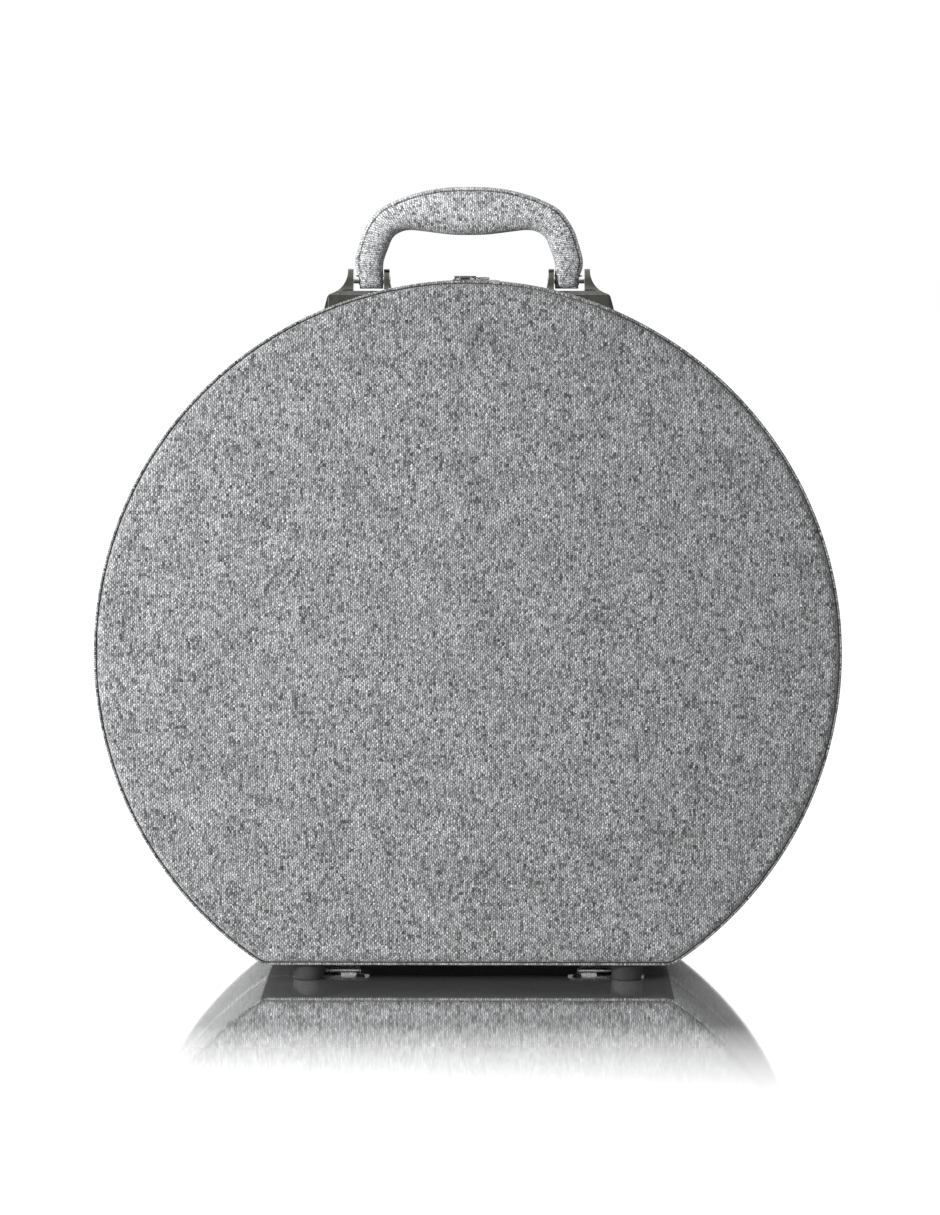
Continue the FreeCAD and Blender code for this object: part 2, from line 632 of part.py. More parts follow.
def hinge_rivets(side, spacing):
    plate_z = BASE_HEIGHT - LEAF_THICKNESS
    y = PARTING_Y + side * HINGE_RIVET_Y
    places = [sign * HINGE_X + offset for sign in (-1, 1) for offset in (-spacing / 2, spacing / 2)]
    rivets = [dome_rivet(x, y, plate_z, BASE_HEIGHT + SHELL_INSET, -1, RIVET_SHANK, RIVET_HEAD, RIVET_DOME)
              for x in places]
    return Part.makeCompound(rivets)


# ---------------------------------------------------------------- feet

def foot(x, y):
    """A rubber foot with a recess for its screw."""
    body = Part.makeCone(FOOT_BOTTOM_RADIUS, FOOT_TOP_RADIUS, BASE_HEIGHT, Vector(x, y, 0), Z_AXIS)
    rim = [e for e in body.Edges if e.BoundBox.ZMax < 1e-4]
    body = body.makeFillet(1.2, rim)
    recess = rod(FOOT_RECESS_RADIUS, Vector(x, y, -1), Vector(x, y, FOOT_HEAD_Z[1]))
    hole = rod(FOOT_SCREW_RADIUS, Vector(x, y, FOOT_HEAD_Z[1] - 1), Vector(x, y, BASE_HEIGHT + 1))
    return cut_all(body, [recess, hole])


def foot_screw(x, y):
    head = rod(FOOT_HEAD_RADIUS, Vector(x, y, FOOT_HEAD_Z[0]), Vector(x, y, FOOT_HEAD_Z[1]))
    shank = rod(FOOT_SCREW_RADIUS, Vector(x, y, FOOT_HEAD_Z[1]), Vector(x, y, BASE_HEIGHT + SHELL_INSET))
    return head.fuse(shank).removeSplitter()


# ---------------------------------------------------------------- assembly

def build():
    nodes = {}
    lid = shell_pieces(FRONT_Y, LID_RIM_Y)
    case = shell_pieces(BACK_Y, CASE_RIM_Y)

    # Metalwork and handle
    right_bracket = bracket()
    pin = pivot_pin()
    screws = [bracket_screw(y) for y in (-BRACKET_SCREW_Y, BRACKET_SCREW_Y)]
    all_screws = Part.makeCompound(screws + [mirrored(screw) for screw in screws])
    backing = backing_plate()
    right_bracket = cut_all(right_bracket, [pin] + screws)
    nodes["handle_bracket_right"] = right_bracket
    nodes["handle_bracket_left"] = mirrored(right_bracket)
    nodes["bracket_backing_right"] = cut_all(backing, screws)
    nodes["bracket_backing_left"] = mirrored(nodes["bracket_backing_right"])
    nodes["bracket_screws"] = all_screws
    nodes["pivot_pin_right"] = pin
    nodes["pivot_pin_left"] = mirrored(pin)
    nodes.update(handle_pieces())

    # Latch
    nodes["latch_rivets"] = latch_rivets()
    nodes["latch_base"] = latch_base().cut(nodes["latch_rivets"])
    nodes["latch_slide"] = latch_slide()
    nodes["latch_spring"] = latch_spring()
    nodes["hasp_plate_rivets"] = hasp_plate_rivets()
    nodes["hasp_plate"] = hasp_plate().cut(nodes["hasp_plate_rivets"])
    nodes["hasp_pin"] = hasp_pin()
    nodes["hasp"] = hasp()

    # Hinges
    nodes["hinge_rivets_lid"] = hinge_rivets(-1, LID_RIVET_SPACING)
    nodes["hinge_rivets_case"] = hinge_rivets(1, CASE_RIVET_SPACING)
    nodes["hinge_leaf_lid_right"] = lid_leaf().cut(nodes["hinge_rivets_lid"])
    nodes["hinge_leaf_lid_left"] = mirrored(nodes["hinge_leaf_lid_right"])
    nodes["hinge_leaf_case_right"] = case_leaf().cut(nodes["hinge_rivets_case"])
    nodes["hinge_leaf_case_left"] = mirrored(nodes["hinge_leaf_case_right"])
    nodes["hinge_pin_right"] = hinge_pin()
    nodes["hinge_pin_left"] = mirrored(hinge_pin())

    # Feet
    for name, y in (("front", FRONT_FOOT_Y), ("rear", REAR_FOOT_Y)):
        nodes[name + "_foot_right"] = foot(FOOT_X, y)
        nodes[name + "_foot_left"] = mirrored(foot(FOOT_X, y))
        nodes[name + "_foot_screws"] = both_sides(foot_screw(FOOT_X, y))

    # Shells, with holes for everything that passes through them
    lid_holes = [nodes["hinge_rivets_lid"], nodes["front_foot_screws"], nodes["hasp_plate_rivets"]]
    case_holes = [nodes["hinge_rivets_case"], nodes["rear_foot_screws"], nodes["latch_rivets"], all_screws]
    for name in ("hoop", "hoop_cover", "base_guard"):
        lid[name] = cut_all(lid[name], lid_holes)
        case[name] = cut_all(case[name], case_holes)
    footprint = bracket_footprint()
    case["hoop_cover"] = cut_all(case["hoop_cover"], [footprint, mirrored(footprint)])
    case["lining_hoop"] = cut_all(case["lining_hoop"], [backing, mirrored(backing)])
    names = {"panel": "front_panel", "panel_cover": "front_cover"}
    for name, shape in lid.items():
        nodes["lid_" + names.get(name, name)] = shape
    names = {"panel": "back_panel", "panel_cover": "back_cover"}
    for name, shape in case.items():
        nodes["case_" + names.get(name, name)] = shape
    nodes["closing_collar"] = closing_collar()
    return nodes


def main():
    os.makedirs("parts", exist_ok=True)
    for name, shape in sorted(build().items()):
        if not shape.isValid() or not shape.Solids:
            raise RuntimeError(name + " is not a valid solid")
        shape.exportStep(os.path.join("parts", name + ".step"))
        print("%-24s %2d solids %10.1f mm3" % (name, len(shape.Solids), shape.Volume))


main()
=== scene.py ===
"""Looks for the round hat box: woven covers, padded handle, linings, metalwork and the studio."""

import json
import math

import bmesh
import bpy
import numpy as np
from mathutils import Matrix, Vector


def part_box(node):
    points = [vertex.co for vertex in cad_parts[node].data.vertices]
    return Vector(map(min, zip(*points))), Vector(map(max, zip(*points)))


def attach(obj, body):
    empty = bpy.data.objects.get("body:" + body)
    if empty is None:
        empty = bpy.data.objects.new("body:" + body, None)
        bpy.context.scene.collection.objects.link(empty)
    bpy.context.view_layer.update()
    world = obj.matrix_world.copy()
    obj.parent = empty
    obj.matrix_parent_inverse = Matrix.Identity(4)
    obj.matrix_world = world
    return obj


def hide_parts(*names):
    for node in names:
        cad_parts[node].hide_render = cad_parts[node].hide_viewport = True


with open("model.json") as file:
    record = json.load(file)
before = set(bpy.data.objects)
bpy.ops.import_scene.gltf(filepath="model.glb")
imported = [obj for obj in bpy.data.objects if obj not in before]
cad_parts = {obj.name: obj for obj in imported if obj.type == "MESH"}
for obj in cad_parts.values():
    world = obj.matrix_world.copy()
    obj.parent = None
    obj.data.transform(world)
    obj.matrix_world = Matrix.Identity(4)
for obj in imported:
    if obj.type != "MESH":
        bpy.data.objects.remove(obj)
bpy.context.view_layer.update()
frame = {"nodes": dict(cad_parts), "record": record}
MM = 0.001


def box_mm(node):
    low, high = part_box(node)
    return Vector(low) / MM, Vector(high) / MM


# ---------------------------------------------------------------- sizes in mm, with places read from the frame

BAND_LOW, BAND_HIGH = box_mm("lid_hoop_cover")
GUARD_LOW, GUARD_HIGH = box_mm("lid_base_guard")
RADIUS = (BAND_HIGH.x - BAND_LOW.x) / 2
CENTRE_Z = BAND_HIGH.z - RADIUS
FLAT_Z = GUARD_LOW.z
CORNER = 12.0
CORNER_X = math.sqrt((RADIUS - CORNER) ** 2 - (CENTRE_Z - FLAT_Z - CORNER) ** 2)
CORNER_TURN = math.degrees(math.atan2(CORNER_X, CENTRE_Z - FLAT_Z - CORNER))
GUARD_TURN = math.degrees(math.asin((GUARD_HIGH.x - CORNER_X) / CORNER))
FRONT_Y = box_mm("lid_front_cover")[0].y
BACK_Y = box_mm("case_back_cover")[1].y
LID_RIM_Y = box_mm("lid_rim_binding")[1].y
CASE_RIM_Y = box_mm("case_rim_binding")[0].y

# Layers of a shell, from the outside in
FABRIC = 1.2
HOOP_BOARD = 3.4
LINING_CLOTH = 1.0
BOARD_INSET = FABRIC + HOOP_BOARD
LINING_INSET = BOARD_INSET + LINING_CLOTH

# The rim binding's width on the band, and its web across the board's edge
BINDING = 5.0
WEB = 1.0

# The meshes: steps round the drum in degrees, pieces of its flat, rings of a panel's face, and the angle in
# degrees from which an edge is sharp
ARC_STEP = 0.9
CORNER_STEP = 4.0
FLAT_STEPS = 40
FACE_RINGS = 16
SHARP = 38.0


# ---------------------------------------------------------------- the drum's outline

def outline_at(turn):
    """X, Z, normal X, normal Z; turn is the outward normal's angle from straight down, anticlockwise
    seen from the front."""
    angle = math.radians(turn)
    nx, nz = math.sin(angle), -math.cos(angle)
    if turn < CORNER_TURN:
        return CORNER_X + CORNER * nx, FLAT_Z + CORNER + CORNER * nz, nx, nz
    if turn > 360 - CORNER_TURN:
        return -CORNER_X + CORNER * nx, FLAT_Z + CORNER + CORNER * nz, nx, nz
    return RADIUS * nx, CENTRE_Z + RADIUS * nz, nx, nz


def outline(start=0.0, end=360.0, flat=False):
    """Rows of X, Z, normal X, normal Z and length along the drum's outline; flat closes it under the drum."""
    turns = []
    spans = [(start, CORNER_TURN, CORNER_STEP), (CORNER_TURN, 360 - CORNER_TURN, ARC_STEP),
             (360 - CORNER_TURN, end, CORNER_STEP)]
    for low, high, size in spans:
        if high - low > 1e-6:
            count = max(2, int(math.ceil((high - low) / size)))
            turns += [low + (high - low) * i / count for i in range(count)]
    turns.append(end)
    rows = [outline_at(turn) for turn in turns]
    if flat:
        rows += [(CORNER_X * (2 * i / FLAT_STEPS - 1), FLAT_Z, 0.0, -1.0) for i in range(1, FLAT_STEPS)]
    rows = np.array(rows)
    steps = np.hypot(np.diff(rows[:, 0]), np.diff(rows[:, 1]))
    length = rows[0, 0] + np.concatenate([[0], np.cumsum(steps)])
    return np.column_stack([rows, length])


WHOLE = outline(flat=True)
BAND = outline(GUARD_TURN, 360 - GUARD_TURN)


# ---------------------------------------------------------------- meshes

def finish_mesh(name, bm, body, material, sharp=SHARP):
    """Makes the piece from a bmesh in mm and puts it on its body."""
    bmesh.ops.recalc_face_normals(bm, faces=bm.faces)
    mesh = bpy.data.meshes.new(name)
    bmesh.ops.scale(bm, vec=(MM, MM, MM), verts=bm.verts)
    bm.to_mesh(mesh)
    bm.free()
    mesh.shade_smooth()
    mesh.set_sharp_from_angle(angle=math.radians(sharp))
    piece = bpy.data.objects.new(name, mesh)
    bpy.context.scene.collection.objects.link(piece)
    mesh.materials.append(material)
    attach(piece, body)
    return piece


def developed(profile):
    """Length along a profile of (inset, y, ...) points."""
    total, out = 0.0, [0.0]
    for a, b in zip(profile, profile[1:]):
        total += math.hypot(b[0] - a[0], b[1] - a[1])
        out.append(total)
    return out


def cloth_layers(bm):
    """The UV map, which holds the cloth's own flat coordinates in mm, and how deep a point lies in a seam,
    which sets the painted shade there.
    """
    uv = bm.loops.layers.uv.get("cloth") or bm.loops.layers.uv.new("cloth")
    seam = bm.verts.layers.float.get("seam") or bm.verts.layers.float.new("seam")
    return uv, seam


def add_sweep(bm, path, profile, closed_path, ripple=None):
    """Sweeps a closed profile of (inset, y, seam) along the drum's outline; seam is the share of painted seam
    shade.
    """
    uv, seam = cloth_layers(bm)
    count, around = len(path), len(profile)
    across = developed(list(profile) + [profile[0]])
    grid = []
    for x, z, nx, nz, length in path:
        row = []
        for inset, y, depth in profile:
            lift = ripple(length, y, inset) if ripple else 0.0
            vert = bm.verts.new((x - nx * (inset - lift), y, z - nz * (inset - lift)))
            vert[seam] = depth
            row.append(vert)
        grid.append(row)
    total = path[-1][4] + math.hypot(path[-1][0] - path[0][0], path[-1][1] - path[0][1])
    for i in range(count if closed_path else count - 1):
        a, b = grid[i], grid[(i + 1) % count]
        start, end = path[i][4], path[i + 1][4] if i + 1 < count else total
        for j in range(around):
            k = (j + 1) % around
            face = bm.faces.new((a[j], a[k], b[k], b[j]))
            corners = ((start, across[j]), (start, across[j + 1]), (end, across[j + 1]), (end, across[j]))
            for loop, corner in zip(face.loops, corners):
                loop[uv].uv = corner
    if not closed_path:
        for row in (grid[0], grid[-1]):
            bm.faces.new(row)


def add_panel(bm, way, edge, back_edge, crown):
    """A disc of cloth over a board. edge and back_edge are profiles of (inset, y, seam) from the face
    outwards and back again, seam being the share of painted seam shade; way is 1 where the cloth faces -Y."""
    uv, seam = cloth_layers(bm)
    shares = [1 - (i / FACE_RINGS) ** 1.15 for i in range(FACE_RINGS - 1, 0, -1)]
    first, last = edge[0], back_edge[-1]

    def face_rings(inset, y):
        return [("share", share, inset, y - way * crown * (1 - share ** 2), 0.0, 0.0) for share in shares]

    rings = face_rings(first[0], first[1])
    for (inset, y, depth), length in zip(edge, developed(edge)):
        rings.append(("inset", 1.0, inset, y, depth, length))
    reach = developed(edge)[-1]
    for (inset, y, depth), length in zip(back_edge, developed(back_edge)):
        rings.append(("inset", 1.0, inset, y, depth, reach + 1.0 - length))
    rings += face_rings(last[0], last[1])[::-1]
    loops = []
    for kind, share, inset, y, depth, length in rings:
        row = []
        for x, z, nx, nz, _ in WHOLE:
            px, pz = x - nx * inset, z - nz * inset
            point = (px * share, CENTRE_Z + (pz - CENTRE_Z) * share)
            vert = bm.verts.new((point[0], y, point[1]))
            vert[seam] = depth
            base = (x - nx * first[0], z - nz * first[0])
            flat = point if kind == "share" else (base[0] + nx * length, base[1] + nz * length)
            row.append((vert, (flat[0] * way, flat[1])))
        loops.append(row)
    count = len(WHOLE)

    def put(corners):
        face = bm.faces.new([vert for vert, _ in corners])
        for loop, (_, place) in zip(face.loops, corners):
            loop[uv].uv = place

    for a, b in zip(loops, loops[1:]):
        for i in range(count):
            j = (i + 1) % count
            put((a[i], a[j], b[j], b[i]))
    for row, y in ((loops[0], first[1] - way * crown), (loops[-1], last[1] - way * crown)):
        middle = (bm.verts.new((0, y, CENTRE_Z)), (0, CENTRE_Z))
        for i in range(count):
            put((row[i], row[(i + 1) % count], middle))


def prism(name, outline_xy, low, high):
    """A block with this plan, for cutting windows and bores."""
    bm = bmesh.new()
    face = bm.faces.new([bm.verts.new((x * MM, y * MM, low * MM)) for x, y in outline_xy])
    made = bmesh.ops.extrude_face_region(bm, geom=[face])["geom"]
    raised = [item for item in made if isinstance(item, bmesh.types.BMVert)]
    bmesh.ops.translate(bm, vec=(0, 0, (high - low) * MM), verts=raised)
    bmesh.ops.recalc_face_normals(bm, faces=bm.faces)
    mesh = bpy.data.meshes.new(name)
    bm.to_mesh(mesh)
    bm.free()
    return bpy.data.objects.new(name, mesh)


def rounded_plan(x_range, y_range, radius, sides):
    """A rectangle in plan; its corners on the given sides of X are rounded."""
    points = []
    for cx, sx, cy, sy, start in ((x_range[1], -1, y_range[1], -1, 0), (x_range[0], 1, y_range[1], -1, 90),
                                  (x_range[0], 1, y_range[0], 1, 180), (x_range[1], -1, y_range[0], 1, 270)):
        if -sx not in sides:
            points.append((cx, cy))
            continue
        for i in range(7):
            angle = math.radians(start + 15 * i)
            x = cx + sx * radius + radius * math.cos(angle)
            y = cy + sy * radius + radius * math.sin(angle)
            points.append((x, y))
    return points


def cut(piece, cutters):
    """Cuts windows or bores into a piece for good."""
    for cutter in cutters:
        bpy.context.scene.collection.objects.link(cutter)
        modifier = piece.modifiers.new("window", "BOOLEAN")
        modifier.operation = "DIFFERENCE"
        modifier.solver = "EXACT"
        modifier.object = cutter
    bpy.context.view_layer.update()
    graph = bpy.context.evaluated_depsgraph_get()
    whole = piece.evaluated_get(graph)
    mesh = bpy.data.meshes.new_from_object(whole, preserve_all_data_layers=True, depsgraph=graph)
    piece.modifiers.clear()
    old = piece.data
    piece.data = mesh
    bpy.data.meshes.remove(old)
    mesh.name = piece.name
    for cutter in cutters:
        bpy.data.objects.remove(cutter)
    mesh.set_sharp_from_angle(angle=math.radians(SHARP))


# ---------------------------------------------------------------- materials

class Finish:
    """One material and short calls for its nodes."""

    def __init__(self, name, **settings):
        self.material = bpy.data.materials.new(name)
        self.material.use_nodes = True
        self.tree = self.material.node_tree
        self.tree.nodes.clear()
        self.shader = self.add("ShaderNodeBsdfPrincipled")
        output = self.add("ShaderNodeOutputMaterial")
        self.tree.links.new(self.shader.outputs[0], output.inputs[0])
        for key, value in settings.items():
            self.shader.inputs[key.replace("_", " ")].default_value = value

    def add(self, kind, **settings):
        node = self.tree.nodes.new(kind)
        for key, value in settings.items():
            setattr(node, key, value)
        return node

    def put(self, socket, value):
        if isinstance(value, bpy.types.NodeSocket):
            self.tree.links.new(value, socket)
        else:
            socket.default_value = value

    def math(self, operation, a, b=0.0, c=0.0):
        node = self.add("ShaderNodeMath", operation=operation)
        for socket, value in zip(node.inputs, (a, b, c)):
            self.put(socket, value)
        return node.outputs[0]

    def product(self, first, *others):
        for value in others:
            first = self.math("MULTIPLY", first, value)
        return first

    def ridge(self, value):
        """A round ridge over each whole number."""
        return self.math("SINE", self.math("MULTIPLY", self.math("FRACT", value), math.pi))

    def vector(self, x, y, z=0.0):
        node = self.add("ShaderNodeCombineXYZ")
        for socket, value in zip(node.inputs, (x, y, z)):
            self.put(socket, value)
        return node.outputs[0]

    def split(self, vector):
        node = self.add("ShaderNodeSeparateXYZ")
        self.put(node.inputs[0], vector)
        return list(node.outputs)

    def cloth(self):
        """The cloth's own flat coordinates, in mm."""
        return self.split(self.add("ShaderNodeUVMap", uv_map="cloth").outputs[0])[:2]

    def seam_shade(self, darkest):
        """Painted shade: 1 on open cloth, down to darkest at the bottom of a seam."""
        depth = self.add("ShaderNodeAttribute", attribute_name="seam").outputs["Fac"]
        return self.range(depth, 0.0, 1.0, 1.0, darkest)

    def place(self):
        return self.add("ShaderNodeTexCoord").outputs["Object"]

    def noise(self, where, scale, detail=2.0, roughness=0.5):
        node = self.add("ShaderNodeTexNoise")
        self.put(node.inputs["Vector"], where)
        node.inputs["Scale"].default_value = scale
        node.inputs["Detail"].default_value = detail
        node.inputs["Roughness"].default_value = roughness
        return node.outputs[0]

    def ramp(self, value, stops):
        node = self.add("ShaderNodeValToRGB")
        self.put(node.inputs[0], value)
        ramp = node.color_ramp
        while len(ramp.elements) < len(stops):
            ramp.elements.new(0.5)
        for element, (position, colour) in zip(ramp.elements, stops):
            element.position = position
            grey = colour if isinstance(colour, tuple) else (colour,) * 3
            element.color = (*grey, 1.0)
        return node.outputs[0]

    def range(self, value, low, high, out_low, out_high):
        node = self.add("ShaderNodeMapRange")
        for socket, number in zip(node.inputs, (value, low, high, out_low, out_high)):
            self.put(socket, number)
        return node.outputs[0]

    def vary(self, noise, low, high):
        """Spreads a noise, most of which lies between 0.3 and 0.7, from low to high."""
        return self.range(noise, 0.3, 0.7, low, high)

    def mix(self, share, a, b, kind="MIX"):
        node = self.add("ShaderNodeMix", data_type="RGBA", blend_type=kind)
        self.put(node.inputs[0], share)
        for socket, value in zip((node.inputs[6], node.inputs[7]), (a, b)):
            self.put(socket, value if isinstance(value, bpy.types.NodeSocket) else (*value, 1.0))
        return node.outputs[2]

    def bump(self, height, distance, strength=1.0):
        node = self.add("ShaderNodeBump")
        node.inputs["Strength"].default_value = strength
        node.inputs["Distance"].default_value = distance
        self.put(node.inputs["Height"], height)
        self.put(self.shader.inputs["Normal"], node.outputs[0])

    def colour(self, value):
        self.put(self.shader.inputs["Base Color"], value)

    def rough(self, value):
        self.put(self.shader.inputs["Roughness"], value)


COOL_TINT = (0.98, 1.0, 1.015)
WEFT_SPACING = 0.94
YARN_STOPS = (0.32, 0.44, 0.55, 0.68)
WEAR_SCALE = 220.0
# Radius of the edge mask for the painted edge highlight and wear
HIGHLIGHT_AND_WEAR_EDGE = 0.0004


def scaled(colour, share):
    return tuple(part * share for part in colour)


def woven(name, pitch, upright_tones, level_tones, groove=0.55, relief=0.0002):
    """A plain weave of melange yarn: each thread changes tone along its length and ducks under the next, with
    painted shade where the weave lies low and in the seams.
    """
    f = Finish(name, Sheen_Weight=0.15, Sheen_Roughness=0.45, Specular_IOR_Level=0.22)
    u, v = f.cloth()
    # Long bends of the threads and short ones, each as noise scale and shift in mm
    for scale, shift_u, shift_v in ((0.13, 2.6, -2.1), (0.8, 1.5, 1.1)):
        bend = f.noise(f.vector(u, v), scale, 2.0, 0.6)
        u = f.math("MULTIPLY_ADD", bend, shift_u, u)
        v = f.math("MULTIPLY_ADD", bend, shift_v, v)
    u = f.math("DIVIDE", u, pitch)
    v = f.math("DIVIDE", v, pitch * WEFT_SPACING)
    column, row = f.math("FLOOR", u), f.math("FLOOR", v)

    def thread(across, along, number, shift, low):
        """The height of one set of threads: round across, and up and down along its length."""
        phase = f.math("ADD", f.math("SUBTRACT", along, 0.5), f.math("ADD", number, shift))
        rise = f.math("MULTIPLY_ADD", f.math("COSINE", f.math("MULTIPLY", phase, math.pi)), 0.30, low)
        return f.math("MULTIPLY", f.math("POWER", f.ridge(across), 1.1), rise)

    upright, level = thread(u, v, column, 0.0, 0.70), thread(v, u, row, 1.0, 0.54)
    height = f.math("MAXIMUM", upright, level)
    over = f.range(f.math("SUBTRACT", upright, level), -0.08, 0.08, 0.0, 1.0)

    def yarn(number, along, seed, stretch, tones):
        """The tone of each thread, which changes slowly along it."""
        where = f.vector(f.math("MULTIPLY_ADD", number, 7.31, seed), f.math("MULTIPLY", along, stretch))
        return f.ramp(f.noise(where, 1.0, 3.0, 0.6), list(zip(YARN_STOPS, tones)))

    tone = f.mix(over, yarn(row, u, 41.0, 0.35, level_tones), yarn(column, v, 3.0, 0.4, upright_tones))
    # Flecks: short lengths of the upright threads, each with a tone of its own
    cell = f.add("ShaderNodeTexWhiteNoise", noise_dimensions="3D")
    f.put(cell.inputs["Vector"], f.vector(column, f.math("FLOOR", f.math("MULTIPLY", v, 0.55))))
    fleck = f.math("MULTIPLY_ADD", f.math("SQRT", cell.outputs["Value"]), 1.25, 0.16)
    ply = f.noise(f.vector(f.math("MULTIPLY", u, 2.0), f.math("MULTIPLY", v, 1.3)), 1.0, 2.0, 0.6)
    # Painted shade between the threads: the cloth darkens where the weave lies low
    depth = f.range(height, 0.1, 0.72, 0.08, 1.06)
    cloud = f.vary(f.noise(f.place(), 46.0, 4.0, 0.6), 0.84, 1.15)
    # The tone is darkened by painted shade (the weave's low places and the seams) and by random ply, flecks and
    # clouds
    shade = f.product(depth, f.vary(ply, 0.84, 1.14), fleck, cloud, f.seam_shade(groove))
    tinted = f.vector(*[f.math("MULTIPLY", shade, part) for part in COOL_TINT])
    f.colour(f.mix(1.0, tone, tinted, "MULTIPLY"))
    fibre = f.noise(f.vector(u, v), 6.0, 2.0, 0.7)
    f.bump(f.math("MULTIPLY_ADD", fibre, 0.22, height), relief)
    f.rough(f.vary(fibre, 0.78, 0.94))
    return f.material


def twill(name, colour):
    """A smooth lining with fine slanting ribs."""
    f = Finish(name, Sheen_Weight=0.12, Sheen_Roughness=0.35, Specular_IOR_Level=0.35)
    u, v = f.cloth()
    slant = f.math("DIVIDE", f.math("ADD", u, f.math("MULTIPLY", v, 0.9)), 0.95)
    rib = f.math("POWER", f.ridge(slant), 0.7)
    weft = f.ridge(f.math("DIVIDE", v, 0.5))
    thread = f.noise(f.vector(f.math("FLOOR", slant), f.math("MULTIPLY", v, 0.1)), 1.0, 2.0)
    cloud = f.noise(f.place(), 18.0, 3.0)
    # Painted shade in the seams, with random tone from the threads and the clouds
    shade = f.product(f.vary(thread, 0.72, 1.25), f.vary(cloud, 0.88, 1.12), f.seam_shade(0.3))
    f.colour(f.mix(1.0, f.vector(shade, shade, shade), colour, "MULTIPLY"))
    f.bump(f.math("MULTIPLY_ADD", weft, 0.25, rib), 0.00016, 0.8)
    f.rough(f.range(rib, 0.0, 1.0, 0.66, 0.5))
    return f.material


def plated(name, base, bright, rough):
    """Plated metal: faint cast ripple, fine wear, and lighter edges that are a painted highlight and partly
    wear.
    """
    f = Finish(name, Metallic=1.0)
    where = f.place()
    corner = f.add("ShaderNodeBevel", samples=6)
    corner.inputs["Radius"].default_value = HIGHLIGHT_AND_WEAR_EDGE
    dot = f.add("ShaderNodeVectorMath", operation="DOT_PRODUCT")
    f.put(dot.inputs[0], corner.outputs[0])
    f.put(dot.inputs[1], f.add("ShaderNodeNewGeometry").outputs["Normal"])
    scuff = f.noise(where, WEAR_SCALE * 3, 4.0, 0.7)
    flatness = f.math("ADD", dot.outputs["Value"], f.math("MULTIPLY", scuff, 0.04))
    # Painted highlight along the edges, partly edge wear: bright where the rounded normal turns from the face's
    # own
    highlight_and_wear = f.range(flatness, 0.99, 0.86, 0.0, 0.8)
    cloud = f.noise(where, WEAR_SCALE, 3.0, 0.6)
    body = f.ramp(cloud, [(0.3, scaled(base, 0.82)), (0.7, scaled(base, 1.15))])
    f.colour(f.mix(highlight_and_wear, body, bright))
    polish = f.vary(cloud, rough * 0.85, rough * 1.2)
    f.rough(f.math("MULTIPLY_ADD", f.math("SUBTRACT", scuff, 0.5), 0.12, polish))
    f.bump(f.noise(where, WEAR_SCALE * 1.6, 2.0, 0.5), 0.000012, 0.4)
    return f.material


def brushed(name, colour, rough):
    """Drawn or turned steel with fine lines one way."""
    f = Finish(name, Metallic=1.0)
    scales = (60.0, 4000.0, 900.0)
    parts = [f.math("MULTIPLY", part, scale) for part, scale in zip(f.split(f.place()), scales)]
    lines = f.noise(f.vector(*parts), 1.0, 2.0, 0.6)
    spots = f.noise(f.place(), 400.0, 4.0, 0.65)
    tone = f.math("MULTIPLY_ADD", spots, 0.5, f.math("MULTIPLY", lines, 0.5))
    f.colour(f.ramp(tone, [(0.35, scaled(colour, 0.78)), (0.62, colour)]))
    f.rough(f.vary(lines, rough * 0.75, rough * 1.35))
    f.bump(lines, 0.00003, 0.4)
    return f.material


def grained(name, colour, cell, depth, rough, specular=0.45):
    """Moulded plastic or rubber with a fine grain; its cells and its depth are in metres."""
    f = Finish(name, Specular_IOR_Level=specular)
    pebble = f.add("ShaderNodeTexVoronoi", feature="SMOOTH_F1")
    f.put(pebble.inputs["Vector"], f.place())
    pebble.inputs["Scale"].default_value = 1.0 / cell
    fine = f.noise(f.place(), 2.2 / cell, 3.0, 0.6)
    scuffs = f.noise(f.place(), 60.0, 4.0, 0.7)
    scuffed = tuple(part * 1.35 + 0.006 for part in colour)
    f.colour(f.ramp(scuffs, [(0.34, colour), (0.74, scuffed)]))
    f.rough(f.vary(fine, rough * 0.9, rough * 1.15))
    f.bump(f.math("MULTIPLY_ADD", fine, 0.4, pebble.outputs["Distance"]), depth, 0.7)
    return f.material


def pressed_fibre(name):
    """Grey-brown fibre board with flecks."""
    f = Finish(name, Specular_IOR_Level=0.2)
    fleck = f.noise(f.place(), 900.0, 3.0, 0.7)
    broad = f.noise(f.place(), 40.0, 3.0, 0.6)
    tone = f.ramp(fleck, [(0.36, (0.16, 0.125, 0.09)), (0.5, (0.33, 0.27, 0.20)), (0.66, (0.47, 0.40, 0.31))])
    f.colour(f.mix(1.0, tone, f.ramp(broad, [(0.3, 0.82), (0.7, 1.0)]), "MULTIPLY"))
    f.rough(f.vary(broad, 0.82, 0.95))
    f.bump(fleck, 0.0001, 0.6)
    return f.material


def thread_finish(name, colour):
    """Twisted sewing thread."""
    f = Finish(name, Roughness=0.6, Sheen_Weight=0.2, Specular_IOR_Level=0.4)
    wave = f.add("ShaderNodeTexWave", bands_direction="DIAGONAL")
    f.put(wave.inputs["Vector"], f.place())
    wave.inputs["Scale"].default_value = 1400.0
    wave.inputs["Distortion"].default_value = 1.5
    f.colour(f.ramp(wave.outputs["Fac"], [(0.2, scaled(colour, 0.6)), (0.8, colour)]))
    f.bump(wave.outputs["Fac"], 0.00005, 0.6)
    return f.material


